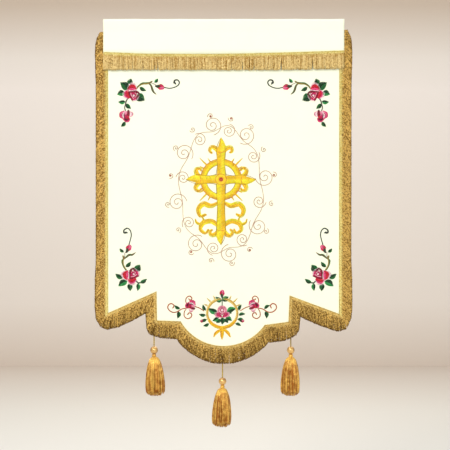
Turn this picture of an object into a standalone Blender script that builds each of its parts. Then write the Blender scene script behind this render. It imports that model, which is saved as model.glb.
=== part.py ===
"""A hanging church banner: a shaped cloth under a rod sleeve, with gold bullion fringe and tassels.

Metres, +Z up, front towards -Y. The origin is the middle of the sleeve's top edge, where the banner hangs.
Half-outlines are given as (out, z): out is the distance from the banner's middle line, on either side.
"""

import math
import random
from collections import namedtuple

import bmesh
import bpy
from mathutils import Matrix, Vector

# Thickness of each layer, and the air between two of them
CLOTH_THICK = 0.0020
HEADING_LAYER = 0.0015
BRAID_THICK = 0.0016
CORD_DIAMETER = 0.0050
AIR = 0.0003
AIR_ON_WAVES = 0.0005

# Heading: a band folded into a sleeve for a crossbar, with both layers together below it
HEADING_WIDTH = 0.898
HEADING_HEIGHT = 0.136
SLEEVE_RADIUS = 0.0080
SLEEVE_HEIGHT = 0.038
SLEEVE_ARC_STEPS = 12

# Braid: the woven head of the fringe, sewn on the cloth along its inner edge
BRAID_WIDTH = 0.016
CLOTH_SETBACK = 0.002

# Where each layer lies in depth; the heading is centred on y = 0
BRAID_FRONT_Y = HEADING_LAYER + AIR
CLOTH_FRONT_Y = BRAID_FRONT_Y + BRAID_THICK + AIR_ON_WAVES
CORD_Y = CLOTH_FRONT_Y + CLOTH_THICK + AIR + CORD_DIAMETER / 2
TOP_BRAID_FRONT_Y = -HEADING_LAYER - AIR - BRAID_THICK

# Soft upright waves of the hanging cloth, and the grid of faces that follows them
WAVE_DEPTH = 0.0032
WAVE_LENGTH = 0.46
WAVE_PHASE = 0.7
WAVE_START_Z = -0.15
WAVE_FULL_Z = -1.15
CLOTH_COLUMN = 0.036
CLOTH_ROW = 0.115

# Inner edge of the braid down each half, corner by corner; the halves differ as they hang
Corner = namedtuple("Corner", "name left_out left_z right_out right_z")
OUTLINE = (
    Corner("shoulder", 0.4312, -0.0475, 0.4308, -0.0405),
    Corner("ear", 0.4312, -1.0958, 0.4297, -1.0988),
    Corner("notch", 0.2504, -1.0149, 0.2452, -1.0302),
    Corner("corner", 0.2486, -1.1233, 0.2411, -1.1285),
    Corner("tongue", 0.1603, -1.1267, 0.1528, -1.1405),
)
TONGUE_BOTTOM_Z = -1.2190
TONGUE_STEPS = 10

# Top edge of the braid across the heading, which dips a little, and the drop of the locks below it
TopPoint = namedtuple("TopPoint", "x z drop")
TOP_LINE = (
    TopPoint(-0.4455, -0.1230, 0.0505),
    TopPoint(-0.2960, -0.1295, 0.0440),
    TopPoint(-0.0500, -0.1305, 0.0435),
    TopPoint(0.1000, -0.1282, 0.0455),
    TopPoint(0.2850, -0.1230, 0.0490),
    TopPoint(0.4455, -0.1172, 0.0515),
)
TOP_RUN_LOCKS = 54

# Fringe runs: how many locks, and how far a lock's tip lies out from and down from its root
Run = namedtuple("Run", "name locks tips")
Tip = namedtuple("Tip", "share out down")
RUNS = (
    Run(
        "side",
        50,
        (
            Tip(0.000, 0.0130, 0.0005),
            Tip(0.014, 0.0250, 0.0015),
            Tip(0.025, 0.0295, 0.0115),
            Tip(0.050, 0.0300, 0.0260),
            Tip(0.100, 0.0298, 0.0390),
            Tip(0.800, 0.0298, 0.0400),
            Tip(0.870, 0.0318, 0.0400),
            Tip(0.950, 0.0322, 0.0420),
            Tip(1.000, 0.0096, 0.0270),
        ),
    ),
    Run(
        "ear",
        11,
        (
            Tip(0.00, 0.0096, 0.0270),
            Tip(0.10, 0.0053, 0.0410),
            Tip(0.30, -0.0009, 0.0486),
            Tip(0.60, 0.0071, 0.0512),
            Tip(0.85, 0.0168, 0.0510),
            Tip(1.00, 0.0253, 0.0533),
        ),
    ),
    Run(
        "notch",
        6,
        (
            Tip(0.00, 0.0253, 0.0533),
            Tip(0.50, 0.0240, 0.0429),
            Tip(0.80, 0.0231, 0.0365),
            Tip(1.00, 0.0123, 0.0335),
        ),
    ),
    Run(
        "step",
        6,
        (
            Tip(0.00, 0.0123, 0.0335),
            Tip(0.20, 0.0052, 0.0421),
            Tip(0.50, 0.0022, 0.0447),
            Tip(1.00, 0.0034, 0.0499),
        ),
    ),
    Run(
        "tongue",
        12,
        (
            Tip(0.00, 0.0034, 0.0499),
            Tip(0.20, 0.0160, 0.0365),
            Tip(0.50, 0.0112, 0.0418),
            Tip(0.80, 0.0028, 0.0485),
            Tip(1.00, 0.0000, 0.0488),
        ),
    ),
)
LOCK_GAP = 0.0018
RUN_END_GAP = 0.0002
LOCK_LENGTH_SPREAD = 0.04
LOCK_OUT_BEND = 0.8
LOCK_FALL_BEND = 1.3
LockStep = namedtuple("LockStep", "along thick forward")
LOCK_STEPS = (
    LockStep(0.45, 0.0032, 0.0000),
    LockStep(1.00, 0.0024, 0.0000),
)
TOP_LOCK_STEPS = (
    LockStep(0.45, 0.0036, 0.0012),
    LockStep(1.00, 0.0026, 0.0004),
)
FRINGE_SEED = 11

# Tassels: where each hangs, and how far its foot leans sideways
Tassel = namedtuple("Tassel", "side x cord_top_z bead_z lean")
TASSELS = (
    Tassel("left", -0.2601, -1.1152, -1.2351, 0.0048),
    Tassel("centre", -0.0045, -1.2152, -1.3518, -0.0030),
    Tassel("right", 0.2503, -1.1202, -1.2351, -0.0015),
)
CORD_STEP = 0.012
BEAD_RADIUS = 0.0145
BEAD_SEGMENTS = 20
BEAD_RINGS = 12
NECK_RADIUS = 0.0060
NECK_HEIGHT = 0.0065
BINDING_RADIUS = 0.0088
BINDING_HEIGHT = 0.0050
BINDING_ROUNDING = 0.0010
BINDING_SEGMENTS = 20
SKIRT_LOCKS = 24
SKIRT_CORE_RADIUS = 0.0022
SKIRT_LENGTH = 0.1465
SKIRT_GAP_SHARE = 0.14
SKIRT_CORE_SHARE = 0.34
SkirtRow = namedtuple("SkirtRow", "along radius")
SKIRT_PROFILE = (
    SkirtRow(0.06, 0.0158),
    SkirtRow(0.24, 0.0268),
    SkirtRow(0.60, 0.0350),
    SkirtRow(1.00, 0.0366),
)

IVORY = (0.90, 0.89, 0.80)
FRINGE_GOLD = (0.50, 0.31, 0.07)
TASSEL_GOLD = (0.60, 0.34, 0.08)


def clear_scene():
    for obj in list(bpy.data.objects):
        bpy.data.objects.remove(obj, do_unlink=True)


def make_material(name, colour, roughness, metallic):
    material = bpy.data.materials.new(name)
    material.use_nodes = True
    shader = material.node_tree.nodes["Principled BSDF"]
    shader.inputs["Base Color"].default_value = (*colour, 1.0)
    shader.inputs["Roughness"].default_value = roughness
    shader.inputs["Metallic"].default_value = metallic
    return material


def add_object(name, mesh, material, parent):
    obj = bpy.data.objects.new(name, mesh)
    bpy.context.scene.collection.objects.link(obj)
    mesh.materials.append(material)
    obj.parent = parent
    return obj


def mesh_from(bm, name):
    bmesh.ops.recalc_face_normals(bm, faces=bm.faces)
    mesh = bpy.data.meshes.new(name)
    bm.to_mesh(mesh)
    bm.free()
    mesh.shade_smooth()
    mesh.set_sharp_from_angle(angle=math.radians(40))
    return mesh


def wave(x, z):
    """How far the hanging cloth lies behind its flat plane at a place on it."""
    fall = (WAVE_START_Z - z) / (WAVE_START_Z - WAVE_FULL_Z)
    fall = min(max(fall, 0.0), 1.0)
    return WAVE_DEPTH * fall**1.5 * math.sin(2 * math.pi * x / WAVE_LENGTH + WAVE_PHASE)


def along_table(rows, share):
    """The values of a table at a share of its first column, by straight steps between its rows."""
    for before, after in zip(rows, rows[1:]):
        if share <= after[0]:
            mix = (share - before[0]) / (after[0] - before[0])
            mix = max(mix, 0.0)
            return [a + (b - a) * mix for a, b in zip(before[1:], after[1:])]
    return list(rows[-1][1:])


def outward(start, end):
    """The unit normal, pointing off the cloth, of an edge walked down a half-outline."""
    step = (end - start).normalized()
    return Vector((-step.y, step.x))


def corner_offset(normal_before, normal_after):
    """The mitred move, for one metre of offset, of a corner between two edges."""
    return (normal_before + normal_after) / (1 + normal_before.dot(normal_after))


class HalfOutline:
    """One half of the banner's edge: the braid's inner line, and any line parallel to it."""

    def __init__(self, side):
        if side == "left":
            self.sign = -1
            self.corners = [Vector((row.left_out, row.left_z)) for row in OUTLINE]
        else:
            self.sign = 1
            self.corners = [Vector((row.right_out, row.right_z)) for row in OUTLINE]
        last = self.corners[-1]
        rise = last.y - TONGUE_BOTTOM_Z
        self.radius = (last.x**2 + rise**2) / (2 * rise)
        self.centre = Vector((0.0, TONGUE_BOTTOM_Z + self.radius))
        edges = list(zip(self.corners, self.corners[1:]))
        self.normals = [outward(start, end) for start, end in edges]
        self.normals.append((last - self.centre).normalized())

    def corner(self, index, distance):
        """A corner of the line that lies this far outside the braid's inner edge."""
        if index == 0:
            return self.corners[0] + self.normals[0] * distance
        return self.corners[index] + distance * corner_offset(
            self.normals[index - 1], self.normals[index]
        )

    def point(self, run, share, distance):
        """A point of a run, 0 at its upper end, on the line this far out."""
        start = self.corner(run, distance)
        if run < len(self.corners) - 1:
            return start.lerp(self.corner(run + 1, distance), share)
        spoke = start - self.centre
        angle = math.atan2(spoke.x, -spoke.y) * (1 - share)
        radius = self.radius + distance
        return self.centre + radius * Vector((math.sin(angle), -math.cos(angle)))


def build_cloth(halves, material, parent):
    """The shaped cloth: its cut edge runs under the braid, and it hangs in soft waves."""
    cut = BRAID_WIDTH - CLOTH_SETBACK
    edge = []
    for half in halves:
        points = [half.corner(i, cut) for i in range(len(OUTLINE))]
        tongue = len(OUTLINE) - 1
        points += [half.point(tongue, i / TONGUE_STEPS, cut) for i in range(1, TONGUE_STEPS)]
        side = [(half.sign * p.x, p.y) for p in points]
        edge.append(side)
    bottom = [(0.0, TONGUE_BOTTOM_Z - cut)]
    outline = edge[0] + bottom + edge[1][::-1]

    bm = bmesh.new()
    bm.faces.new([bm.verts.new((x, CLOTH_FRONT_Y, z)) for x, z in outline])
    columns = [i * CLOTH_COLUMN for i in range(-12, 13)]
    rows = [WAVE_START_Z - i * CLOTH_ROW for i in range(10)]
    cuts = [(Vector((x, 0, 0)), Vector((1, 0, 0))) for x in columns]
    cuts += [(Vector((0, 0, z)), Vector((0, 0, 1))) for z in rows]
    for place, normal in cuts:
        geometry = bm.verts[:] + bm.edges[:] + bm.faces[:]
        bmesh.ops.bisect_plane(bm, geom=geometry, dist=1e-6, plane_co=place, plane_no=normal)
    bmesh.ops.triangulate(bm, faces=[f for f in bm.faces if len(f.verts) > 4])
    front = bm.faces[:]
    bmesh.ops.recalc_face_normals(bm, faces=front)
    made = bmesh.ops.extrude_face_region(bm, geom=front)
    back = [v for v in made["geom"] if isinstance(v, bmesh.types.BMVert)]
    bmesh.ops.translate(bm, verts=back, vec=(0, CLOTH_THICK, 0))
    for vert in bm.verts:
        vert.co.y += wave(vert.co.x, vert.co.z)
    return add_object("banner_cloth", mesh_from(bm, "banner_cloth"), material, parent)


def sleeve_profile(radius, foot_half, foot_z):
    """The sleeve's section as (y, z): round over the crossbar, drawn together below it."""
    middle = -SLEEVE_RADIUS - HEADING_LAYER
    points = []
    for i in range(SLEEVE_ARC_STEPS + 1):
        angle = math.pi * i / SLEEVE_ARC_STEPS
        points.append((-radius * math.cos(angle), middle + radius * math.sin(angle)))
    closing_z = -SLEEVE_HEIGHT
    points.append((foot_half, closing_z))
    if foot_z < closing_z:
        points += [(foot_half, foot_z), (-foot_half, foot_z)]
    if foot_half > 0:
        points.append((-foot_half, closing_z))
    return points


def prism(name, profile, length):
    """A bar of the section's shape, along X and centred on it."""
    bm = bmesh.new()
    face = bm.faces.new([bm.verts.new((-length / 2, y, z)) for y, z in profile])
    made = bmesh.ops.extrude_face_region(bm, geom=[face])
    far = [v for v in made["geom"] if isinstance(v, bmesh.types.BMVert)]
    bmesh.ops.translate(bm, verts=far, vec=(length, 0, 0))
    return mesh_from(bm, name)


def build_heading(material, parent):
    """The band across the top: a sleeve for the crossbar, with both layers together below it."""
    outside = sleeve_profile(SLEEVE_RADIUS + HEADING_LAYER, HEADING_LAYER, -HEADING_HEIGHT)
    inside = sleeve_profile(SLEEVE_RADIUS, 0.0, -SLEEVE_HEIGHT)
    inside[-1] = (0.0, -SLEEVE_HEIGHT + 2 * HEADING_LAYER)
    heading = add_object(
        "heading_sleeve", prism("heading_sleeve", outside, HEADING_WIDTH), material, parent
    )
    cutter = add_object(
        "sleeve_cutter", prism("sleeve_cutter", inside, 1.2 * HEADING_WIDTH), material, parent
    )
    cutter.hide_render = True
    cutter.display_type = "WIRE"
    hollow = heading.modifiers.new("Hollow", "BOOLEAN")
    hollow.operation = "DIFFERENCE"
    hollow.solver = "EXACT"
    hollow.object = cutter
    return heading


def build_fringe(name, inner, root, reach, locks, front_y, steps, material, parent):
    """A length of fringe: a flat braid, and locks drawn out of its outer edge."""
    length = sum((root((i + 1) / locks) - root(i / locks)).length for i in range(locks))
    half_gap = LOCK_GAP / 2 / length
    end = RUN_END_GAP / length
    chance = random.Random(f"{name}{FRINGE_SEED}")

    def braid_ring(share):
        ring = []
        for line, y in (
            (inner, front_y),
            (root, front_y),
            (root, front_y + BRAID_THICK),
            (inner, front_y + BRAID_THICK),
        ):
            x, z = line(share)
            ring.append(bm.verts.new((x, y + wave(x, z), z)))
        return ring

    def strand_point(share, along, depth):
        """A point of a lock, which leaves the braid outwards and then falls."""
        x, z = root(share)
        move_x, down = reach(share)
        x += move_x * along**LOCK_OUT_BEND
        z -= down * along**LOCK_FALL_BEND
        return Vector((x, front_y + BRAID_THICK / 2 + depth + wave(x, z), z))

    bm = bmesh.new()
    shares = [end]
    for i in range(locks):
        shares += [i / locks + half_gap, (i + 1) / locks - half_gap]
    shares.append(1 - end)
    rings = [braid_ring(share) for share in shares]
    bm.faces.new(rings[0])
    bm.faces.new(rings[-1])
    for i, (before, after) in enumerate(zip(rings, rings[1:])):
        for a in range(4):
            b = (a + 1) % 4
            face = bm.faces.new((before[a], after[a], after[b], before[b]))
            if a != 1 or i % 2 == 0:
                continue
            labels = [(shares[i], -1), (shares[i + 1], -1), (shares[i + 1], 1), (shares[i], 1)]
            longer = 1 + chance.uniform(-LOCK_LENGTH_SPREAD, LOCK_LENGTH_SPREAD)
            for along, thick, forward in steps:
                face = bmesh.ops.extrude_discrete_faces(bm, faces=[face])["faces"][0]
                for vert, (share, away) in zip(face.verts, labels):
                    depth = away * thick / 2 - forward
                    vert.co = strand_point(share, along * longer, depth)
    return add_object(name, mesh_from(bm, name), material, parent)


def build_edge_fringe(half, side, material, parent):
    """The fringe down one half of the banner, cut and joined at each corner."""
    for index, run in enumerate(RUNS):

        def inner(share, index=index):
            out, z = half.point(index, share, 0.0)
            return Vector((half.sign * out, z))

        def root(share, index=index):
            out, z = half.point(index, share, BRAID_WIDTH)
            return Vector((half.sign * out, z))

        def reach(share, tips=run.tips):
            out, down = along_table(tips, share)
            return half.sign * out, down

        build_fringe(
            f"fringe_{run.name}_{side}", inner, root, reach, run.locks, BRAID_FRONT_Y, LOCK_STEPS,
            material, parent,
        )


def build_top_fringe(material, parent):
    """The fringe across the front, under the sleeve."""
    width = TOP_LINE[-1].x - TOP_LINE[0].x

    def inner(share):
        x = TOP_LINE[0].x + width * share
        return Vector((x, along_table(TOP_LINE, x)[0]))

    def root(share):
        return inner(share) - Vector((0, BRAID_WIDTH))

    def reach(share):
        x = TOP_LINE[0].x + width * share
        return 0.0, along_table(TOP_LINE, x)[1]

    build_fringe(
        "fringe_top", inner, root, reach, TOP_RUN_LOCKS, TOP_BRAID_FRONT_Y, TOP_LOCK_STEPS,
        material, parent,
    )


def ring_of(bm, radii, z, angles):
    """A ring of points for each radius, as rows of one list for each radius."""
    return [
        [bm.verts.new((r * math.cos(a), r * math.sin(a), z)) for a in angles] for r in radii
    ]


def skirt_mesh(name):
    """A tassel's skirt: a round neck with wedge-shaped locks falling from its lower face."""
    bm = bmesh.new()
    turn = 2 * math.pi / SKIRT_LOCKS
    gap = turn * SKIRT_GAP_SHARE
    angles = []
    for i in range(SKIRT_LOCKS):
        angles += [i * turn + gap / 2, (i + 1) * turn - gap / 2]
    (top,) = ring_of(bm, [NECK_RADIUS], 0.0, angles)
    outer, core = ring_of(bm, [NECK_RADIUS, SKIRT_CORE_RADIUS], -NECK_HEIGHT, angles)
    bm.faces.new(top)
    bm.faces.new(core)
    count = len(angles)
    for i in range(count):
        j = (i + 1) % count
        bm.faces.new((top[i], top[j], outer[j], outer[i]))
        face = bm.faces.new((outer[i], outer[j], core[j], core[i]))
        if i % 2:
            continue
        start, end = angles[i], angles[j]
        for along, radius in SKIRT_PROFILE:
            face = bmesh.ops.extrude_discrete_faces(bm, faces=[face])["faces"][0]
            z = -NECK_HEIGHT - along * SKIRT_LENGTH
            near = radius * SKIRT_CORE_SHARE
            places = ((radius, start), (radius, end), (near, end), (near, start))
            for vert, (r, angle) in zip(face.verts, places):
                vert.co = (r * math.cos(angle), r * math.sin(angle), z)
    return mesh_from(bm, name)


def ring_mesh(name):
    """The thread wound round a tassel's neck, as a ring with rounded edges."""
    inner = NECK_RADIUS + AIR
    half = BINDING_HEIGHT / 2
    bulge = BINDING_RADIUS - BINDING_ROUNDING
    profile = ((inner, half), (bulge, half), (BINDING_RADIUS, 0.0), (bulge, -half), (inner, -half))
    bm = bmesh.new()
    verts = [bm.verts.new((r, 0, z)) for r, z in profile]
    edges = [bm.edges.new((a, b)) for a, b in zip(verts, verts[1:] + verts[:1])]
    bmesh.ops.spin(
        bm, geom=verts + edges, axis=(0, 0, 1), cent=(0, 0, 0), angle=2 * math.pi,
        steps=BINDING_SEGMENTS, use_merge=False,
    )
    bmesh.ops.remove_doubles(bm, verts=bm.verts[:], dist=1e-5)
    return mesh_from(bm, name)


def bead_mesh(name):
    """The thread-covered ball over a tassel's neck."""
    bm = bmesh.new()
    bmesh.ops.create_uvsphere(
        bm, u_segments=BEAD_SEGMENTS, v_segments=BEAD_RINGS, radius=BEAD_RADIUS
    )
    return mesh_from(bm, name)


def build_cord(name, x, y, top_z, foot_z, material, parent):
    """A tassel's cord: sewn on behind the cloth's edge, then straight down to the bead."""
    curve = bpy.data.curves.new(name, "CURVE")
    curve.dimensions = "3D"
    curve.bevel_depth = CORD_DIAMETER / 2
    curve.bevel_resolution = 2
    curve.use_fill_caps = True
    spline = curve.splines.new("POLY")
    steps = max(2, round((top_z - foot_z) / CORD_STEP))
    spline.points.add(steps)
    for i, point in enumerate(spline.points):
        point.co = (x, y, top_z + (foot_z - top_z) * i / steps, 1.0)
    obj = bpy.data.objects.new(name, curve)
    bpy.context.scene.collection.objects.link(obj)
    curve.materials.append(material)
    obj.parent = parent


def build_tassel(side, x, cord_top_z, bead_z, lean, material, parent):
    """A tassel: cord, bead, bound neck and skirt, leaning a little as it hangs."""
    y = CORD_Y + wave(x, cord_top_z)
    bead_top_z = bead_z + BEAD_RADIUS
    build_cord(f"tassel_cord_{side}", x, y, cord_top_z, bead_top_z + AIR, material, parent)
    tilt = Matrix.Rotation(-math.atan2(lean, SKIRT_LENGTH), 4, "Y")
    neck_down = BEAD_RADIUS + AIR
    for piece, mesh, down in (
        (f"tassel_bead_{side}", bead_mesh(f"tassel_bead_{side}"), 0.0),
        (f"tassel_binding_{side}", ring_mesh(f"tassel_binding_{side}"), neck_down + NECK_HEIGHT / 2),
        (f"tassel_skirt_{side}", skirt_mesh(f"tassel_skirt_{side}"), neck_down),
    ):
        obj = add_object(piece, mesh, material, parent)
        place = Matrix.Translation((x, y, bead_z)) @ tilt @ Matrix.Translation((0, 0, -down))
        obj.matrix_world = place


def main():
    clear_scene()
    ivory = make_material("ivory_fabric", IVORY, 0.85, 0.0)
    fringe_gold = make_material("gold_bullion", FRINGE_GOLD, 0.40, 0.6)
    tassel_gold = make_material("gold_silk", TASSEL_GOLD, 0.35, 0.3)
    banner = bpy.data.objects.new("banner", None)
    bpy.context.scene.collection.objects.link(banner)

    halves = [HalfOutline("left"), HalfOutline("right")]
    build_cloth(halves, ivory, banner)
    build_heading(ivory, banner)
    for side, half in zip(("left", "right"), halves):
        build_edge_fringe(half, side, fringe_gold, banner)
    build_top_fringe(fringe_gold, banner)
    for row in TASSELS:
        build_tassel(*row, tassel_gold, banner)


main()
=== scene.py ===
# Church banner: ivory satin with a sleeve, gold bullion fringe, three tassels and satin stitch
import math

import bpy
import numpy as np
from mathutils.geometry import delaunay_2d_cdt
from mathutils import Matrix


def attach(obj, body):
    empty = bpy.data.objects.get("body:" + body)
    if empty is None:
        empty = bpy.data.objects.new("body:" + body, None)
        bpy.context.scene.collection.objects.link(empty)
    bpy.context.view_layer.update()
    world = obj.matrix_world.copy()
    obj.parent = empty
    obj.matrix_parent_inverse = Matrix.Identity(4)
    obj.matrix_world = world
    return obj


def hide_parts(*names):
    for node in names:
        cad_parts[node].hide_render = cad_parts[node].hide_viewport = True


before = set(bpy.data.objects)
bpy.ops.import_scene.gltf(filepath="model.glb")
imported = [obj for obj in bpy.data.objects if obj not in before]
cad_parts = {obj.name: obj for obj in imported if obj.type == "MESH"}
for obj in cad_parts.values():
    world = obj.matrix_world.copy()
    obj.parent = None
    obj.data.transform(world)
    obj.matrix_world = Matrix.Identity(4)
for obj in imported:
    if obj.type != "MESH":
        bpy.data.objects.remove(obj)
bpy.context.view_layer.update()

mm = 0.001
sides = ("left", "right")

# The camera stands square on, as far back as an 85 mm lens needs
photoView = {
    "widthPx": 450,
    "metresPerPx": 0.003727,   # the heading, 241 px across, is 0.9 m wide
    "distance": 3.96,
    "aimX": 0.0048,
    "aimZ": -0.7678,
    "sensorMm": 36.0,
}

# The layers as the solids have them, from the front back; the heading is centred on y = 0
layers = {
    "braidFront": 1.8 * mm,
    "clothFront": 3.9 * mm,
    "clothThick": 2.0 * mm,
    "cordY": 8.7 * mm,
    "topBraidFront": -3.4 * mm,
}

# Soft upright waves of the hanging cloth, which everything sewn to it follows
hang = {"depth": 3.2 * mm, "length": 0.46, "phase": 0.7, "startZ": -0.15, "fullZ": -1.15}
air = 0.3 * mm


def hangWave(x, z):
    fall = np.clip((hang["startZ"] - z) / (hang["startZ"] - hang["fullZ"]), 0, 1)
    return hang["depth"] * fall**1.5 * np.sin(2 * np.pi * x / hang["length"] + hang["phase"])


# Directions and turns

def unit(vectors):
    return vectors / np.maximum(np.linalg.norm(vectors, axis=-1, keepdims=True), 1e-12)


def acrossOf(way):
    # The flat direction a quarter turn to the left
    return np.stack([-way[..., 1], way[..., 0]], axis=-1)


def wayAt(degrees):
    return np.array([math.cos(math.radians(degrees)), math.sin(math.radians(degrees))])


def evenTurns(count):
    return np.arange(count) * 2 * np.pi / count


# Mesh tools

def meshFrom(name, verts, faceSets, uvSets=None, tone=None, dye=None):
    # faceSets holds arrays of faces, each array with its own number of corners
    mesh = bpy.data.meshes.new(name)
    verts = np.ascontiguousarray(verts, dtype=np.float32)
    loops = np.concatenate([f.ravel() for f in faceSets]).astype(np.int32)
    sizes = np.concatenate([np.full(len(f), f.shape[1]) for f in faceSets])
    starts = np.concatenate([[0], np.cumsum(sizes)[:-1]]).astype(np.int32)
    mesh.vertices.add(len(verts))
    mesh.vertices.foreach_set("co", verts.ravel())
    mesh.loops.add(len(loops))
    mesh.loops.foreach_set("vertex_index", loops)
    mesh.polygons.add(len(sizes))
    mesh.polygons.foreach_set("loop_start", starts)
    if uvSets is not None:
        layer = mesh.uv_layers.new(name="thread")
        flat = np.concatenate([u.reshape(-1, 2) for u in uvSets]).astype(np.float32)
        layer.uv.foreach_set("vector", flat.ravel())
    if tone is not None:
        attribute = mesh.attributes.new("tone", "FLOAT", "POINT")
        attribute.data.foreach_set("value", np.asarray(tone, dtype=np.float32).ravel())
    if dye is not None:
        attribute = mesh.attributes.new("dye", "FLOAT_COLOR", "POINT")
        rgba = np.concatenate([dye, np.ones((len(dye), 1))], axis=1)
        attribute.data.foreach_set("color", rgba.astype(np.float32).ravel())
    mesh.update(calc_edges=True)
    mesh.validate()
    mesh.shade_smooth()
    return mesh


def tubeArrays(paths, radii, around, flat=1.0, lobes=0, lobeDepth=0.0, twistPitch=0.0, turned=0.0,
               pointed=False):
    # Tubes along N paths of M points; flat squashes their depth, and lobes that turn make them rope
    paths = np.asarray(paths, dtype=float)
    count, rings = paths.shape[:2]
    radii = np.broadcast_to(radii, (count, rings))
    tangent = unit(np.gradient(paths, axis=1))
    side = unit(np.cross(tangent, np.array([0.0, 1.0, 0.0])))
    up = np.cross(side, tangent)
    step = np.linalg.norm(np.diff(paths, axis=1), axis=2)
    along = np.concatenate([np.zeros((count, 1)), np.cumsum(step, axis=1)], axis=1)
    angle = turned + evenTurns(around)
    radius = np.repeat(radii[:, :, None], around, axis=2)
    if lobes:
        turn = 2 * np.pi * along / twistPitch
        radius = radius * (1 - lobeDepth + lobeDepth * np.cos(lobes * angle - lobes * turn[:, :, None]))
    ring = side[:, :, None, :] * (radius * np.cos(angle))[..., None]
    ring = ring + up[:, :, None, :] * (radius * np.sin(angle) * flat)[..., None]
    verts = (paths[:, :, None, :] + ring).reshape(-1, 3)
    n, i, j = np.meshgrid(np.arange(count), np.arange(rings - 1), np.arange(around), indexing="ij")
    base = n * rings * around
    k = (j + 1) % around
    quads = np.stack([
        base + i * around + j, base + (i + 1) * around + j,
        base + (i + 1) * around + k, base + i * around + k,
    ], axis=-1).reshape(-1, 4)
    own = 10 * mm * (n * 0.618 % 1)   # each tube's twist starts elsewhere
    v0, v1 = along[n, i] + own, along[n, i + 1] + own
    u0, u1 = j / around, (j + 1) / around
    uvs = np.stack([np.stack(at, -1) for at in ((u0, v0), (u0, v1), (u1, v1), (u1, v0))], axis=-2)
    uvs = uvs.reshape(-1, 4, 2)
    if pointed:
        # Each end ring closes up to one point, and the faces beside it are triangles
        inner = (rings - 2) * around
        slots = np.concatenate([np.zeros(around, int), 1 + np.arange(inner), np.full(around, 1 + inner)])
        index = (np.arange(count)[:, None] * (inner + 2) + slots).ravel()
        rows = verts.reshape(count, rings * around, 3)[:, around:-around]
        verts = np.concatenate([paths[:, :1], rows, paths[:, -1:]], axis=1).reshape(-1, 3)
        quads = index[quads].reshape(count, rings - 1, around, 4)
        uvs = uvs.reshape(count, rings - 1, around, 4, 2)
        faceSets = [quads[:, 0][..., [0, 1, 2]], quads[:, 1:-1], quads[:, -1][..., [0, 1, 3]]]
        uvSets = [uvs[:, 0][..., [0, 1, 2], :], uvs[:, 1:-1], uvs[:, -1][..., [0, 1, 3], :]]
        faceSets = [f.reshape(-1, f.shape[-1]) for f in faceSets]
        uvSets = [u.reshape(-1, u.shape[-2], 2) for u in uvSets]
        return verts, faceSets, uvSets, len(verts)
    first = np.arange(count)[:, None] * rings * around + np.arange(around)
    last = first + (rings - 1) * around
    caps = np.concatenate([first, last[:, ::-1]])
    capUvs = np.zeros((len(caps), around, 2))
    return verts, [quads, caps], [uvs, capUvs], count * rings * around


def noUvs(faceSets):
    return [np.zeros((len(f), f.shape[1], 2)) for f in faceSets]


def joinArrays(parts):
    verts, faceSets, uvSets, total = [], [], [], 0
    for part in parts:
        verts.append(part[0])
        faceSets += [f + total for f in part[1]]
        uvSets += part[2]
        total += part[3]
    return np.concatenate(verts), faceSets, uvSets, total


def gridArrays(points):
    # A closed skin round a block of points[ring, corner], whose corners go round and whose rings run along
    rings, corners = points.shape[:2]
    i, j = np.meshgrid(np.arange(rings - 1), np.arange(corners), indexing="ij")
    k = (j + 1) % corners
    quads = np.stack([i * corners + j, (i + 1) * corners + j, (i + 1) * corners + k, i * corners + k], -1)
    caps = np.stack([np.arange(corners), (rings - 1) * corners + np.arange(corners)[::-1]])
    faceSets = [quads.reshape(-1, 4), caps]
    return points.reshape(-1, 3), faceSets, noUvs(faceSets), rings * corners


def turnedBody(x, y, heights, radii, around):
    # Rings of points about an upright axis
    turn = evenTurns(around)
    return np.stack(np.broadcast_arrays(x + radii * np.cos(turn), y + radii * np.sin(turn), heights), axis=-1)


def facesOut(verts, faceSets, uvSets):
    # Turns every face round if the skin is inside out
    volume = 0.0
    for f in faceSets:
        a = verts[f[:, 0]]
        for c in range(1, f.shape[1] - 1):
            volume += np.einsum("ij,ij->", a, np.cross(verts[f[:, c]], verts[f[:, c + 1]]))
    if volume < 0:
        faceSets = [f[:, ::-1] for f in faceSets]
        uvSets = [u[:, ::-1] for u in uvSets]
    return faceSets, uvSets


def addObject(name, data):
    made = bpy.data.objects.new(name, data)
    bpy.context.scene.collection.objects.link(made)
    return made


def addPiece(name, arrays, materials, nodes=(), tone=None, dye=None, faceMaterial=None):
    verts, faceSets, uvSets, _ = arrays
    faceSets, uvSets = facesOut(verts, faceSets, uvSets)
    mesh = meshFrom(name, verts, faceSets, uvSets, tone, dye)
    piece = addObject(name, mesh)
    for material in materials:
        mesh.materials.append(material)
    if faceMaterial is not None:
        mesh.polygons.foreach_set("material_index", np.asarray(faceMaterial, dtype=np.int32))
    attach(piece, "root")
    if nodes:
        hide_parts(*nodes)
    return piece


# Material tools

def linear(hexColour):
    channels = [int(hexColour[i:i + 2], 16) / 255 for i in (1, 3, 5)]
    return [c / 12.92 if c <= 0.04045 else ((c + 0.055) / 1.055) ** 2.4 for c in channels] + [1.0]


def addNode(tree, kind, settings=None, links=None):
    # A setting or a link goes to the socket of that name or number, or else to the node itself
    node = tree.nodes.new(kind)
    for key, value in (settings or {}).items():
        if isinstance(key, str) and hasattr(node, key):
            setattr(node, key, value)
        else:
            node.inputs[key].default_value = value
    for key, source in (links or {}).items():
        tree.links.new(source, node.inputs[key])
    return node


def newMaterial(name):
    material = bpy.data.materials.new(name)
    material.use_nodes = True
    tree = material.node_tree
    tree.nodes.clear()
    output = addNode(tree, "ShaderNodeOutputMaterial")
    shader = addNode(tree, "ShaderNodeBsdfPrincipled")
    tree.links.new(shader.outputs[0], output.inputs["Surface"])
    return material, tree, shader


def setShader(tree, shader, settings, links=None):
    for key, value in settings.items():
        shader.inputs[key].default_value = value
    for key, source in (links or {}).items():
        tree.links.new(source, shader.inputs[key])


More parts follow.
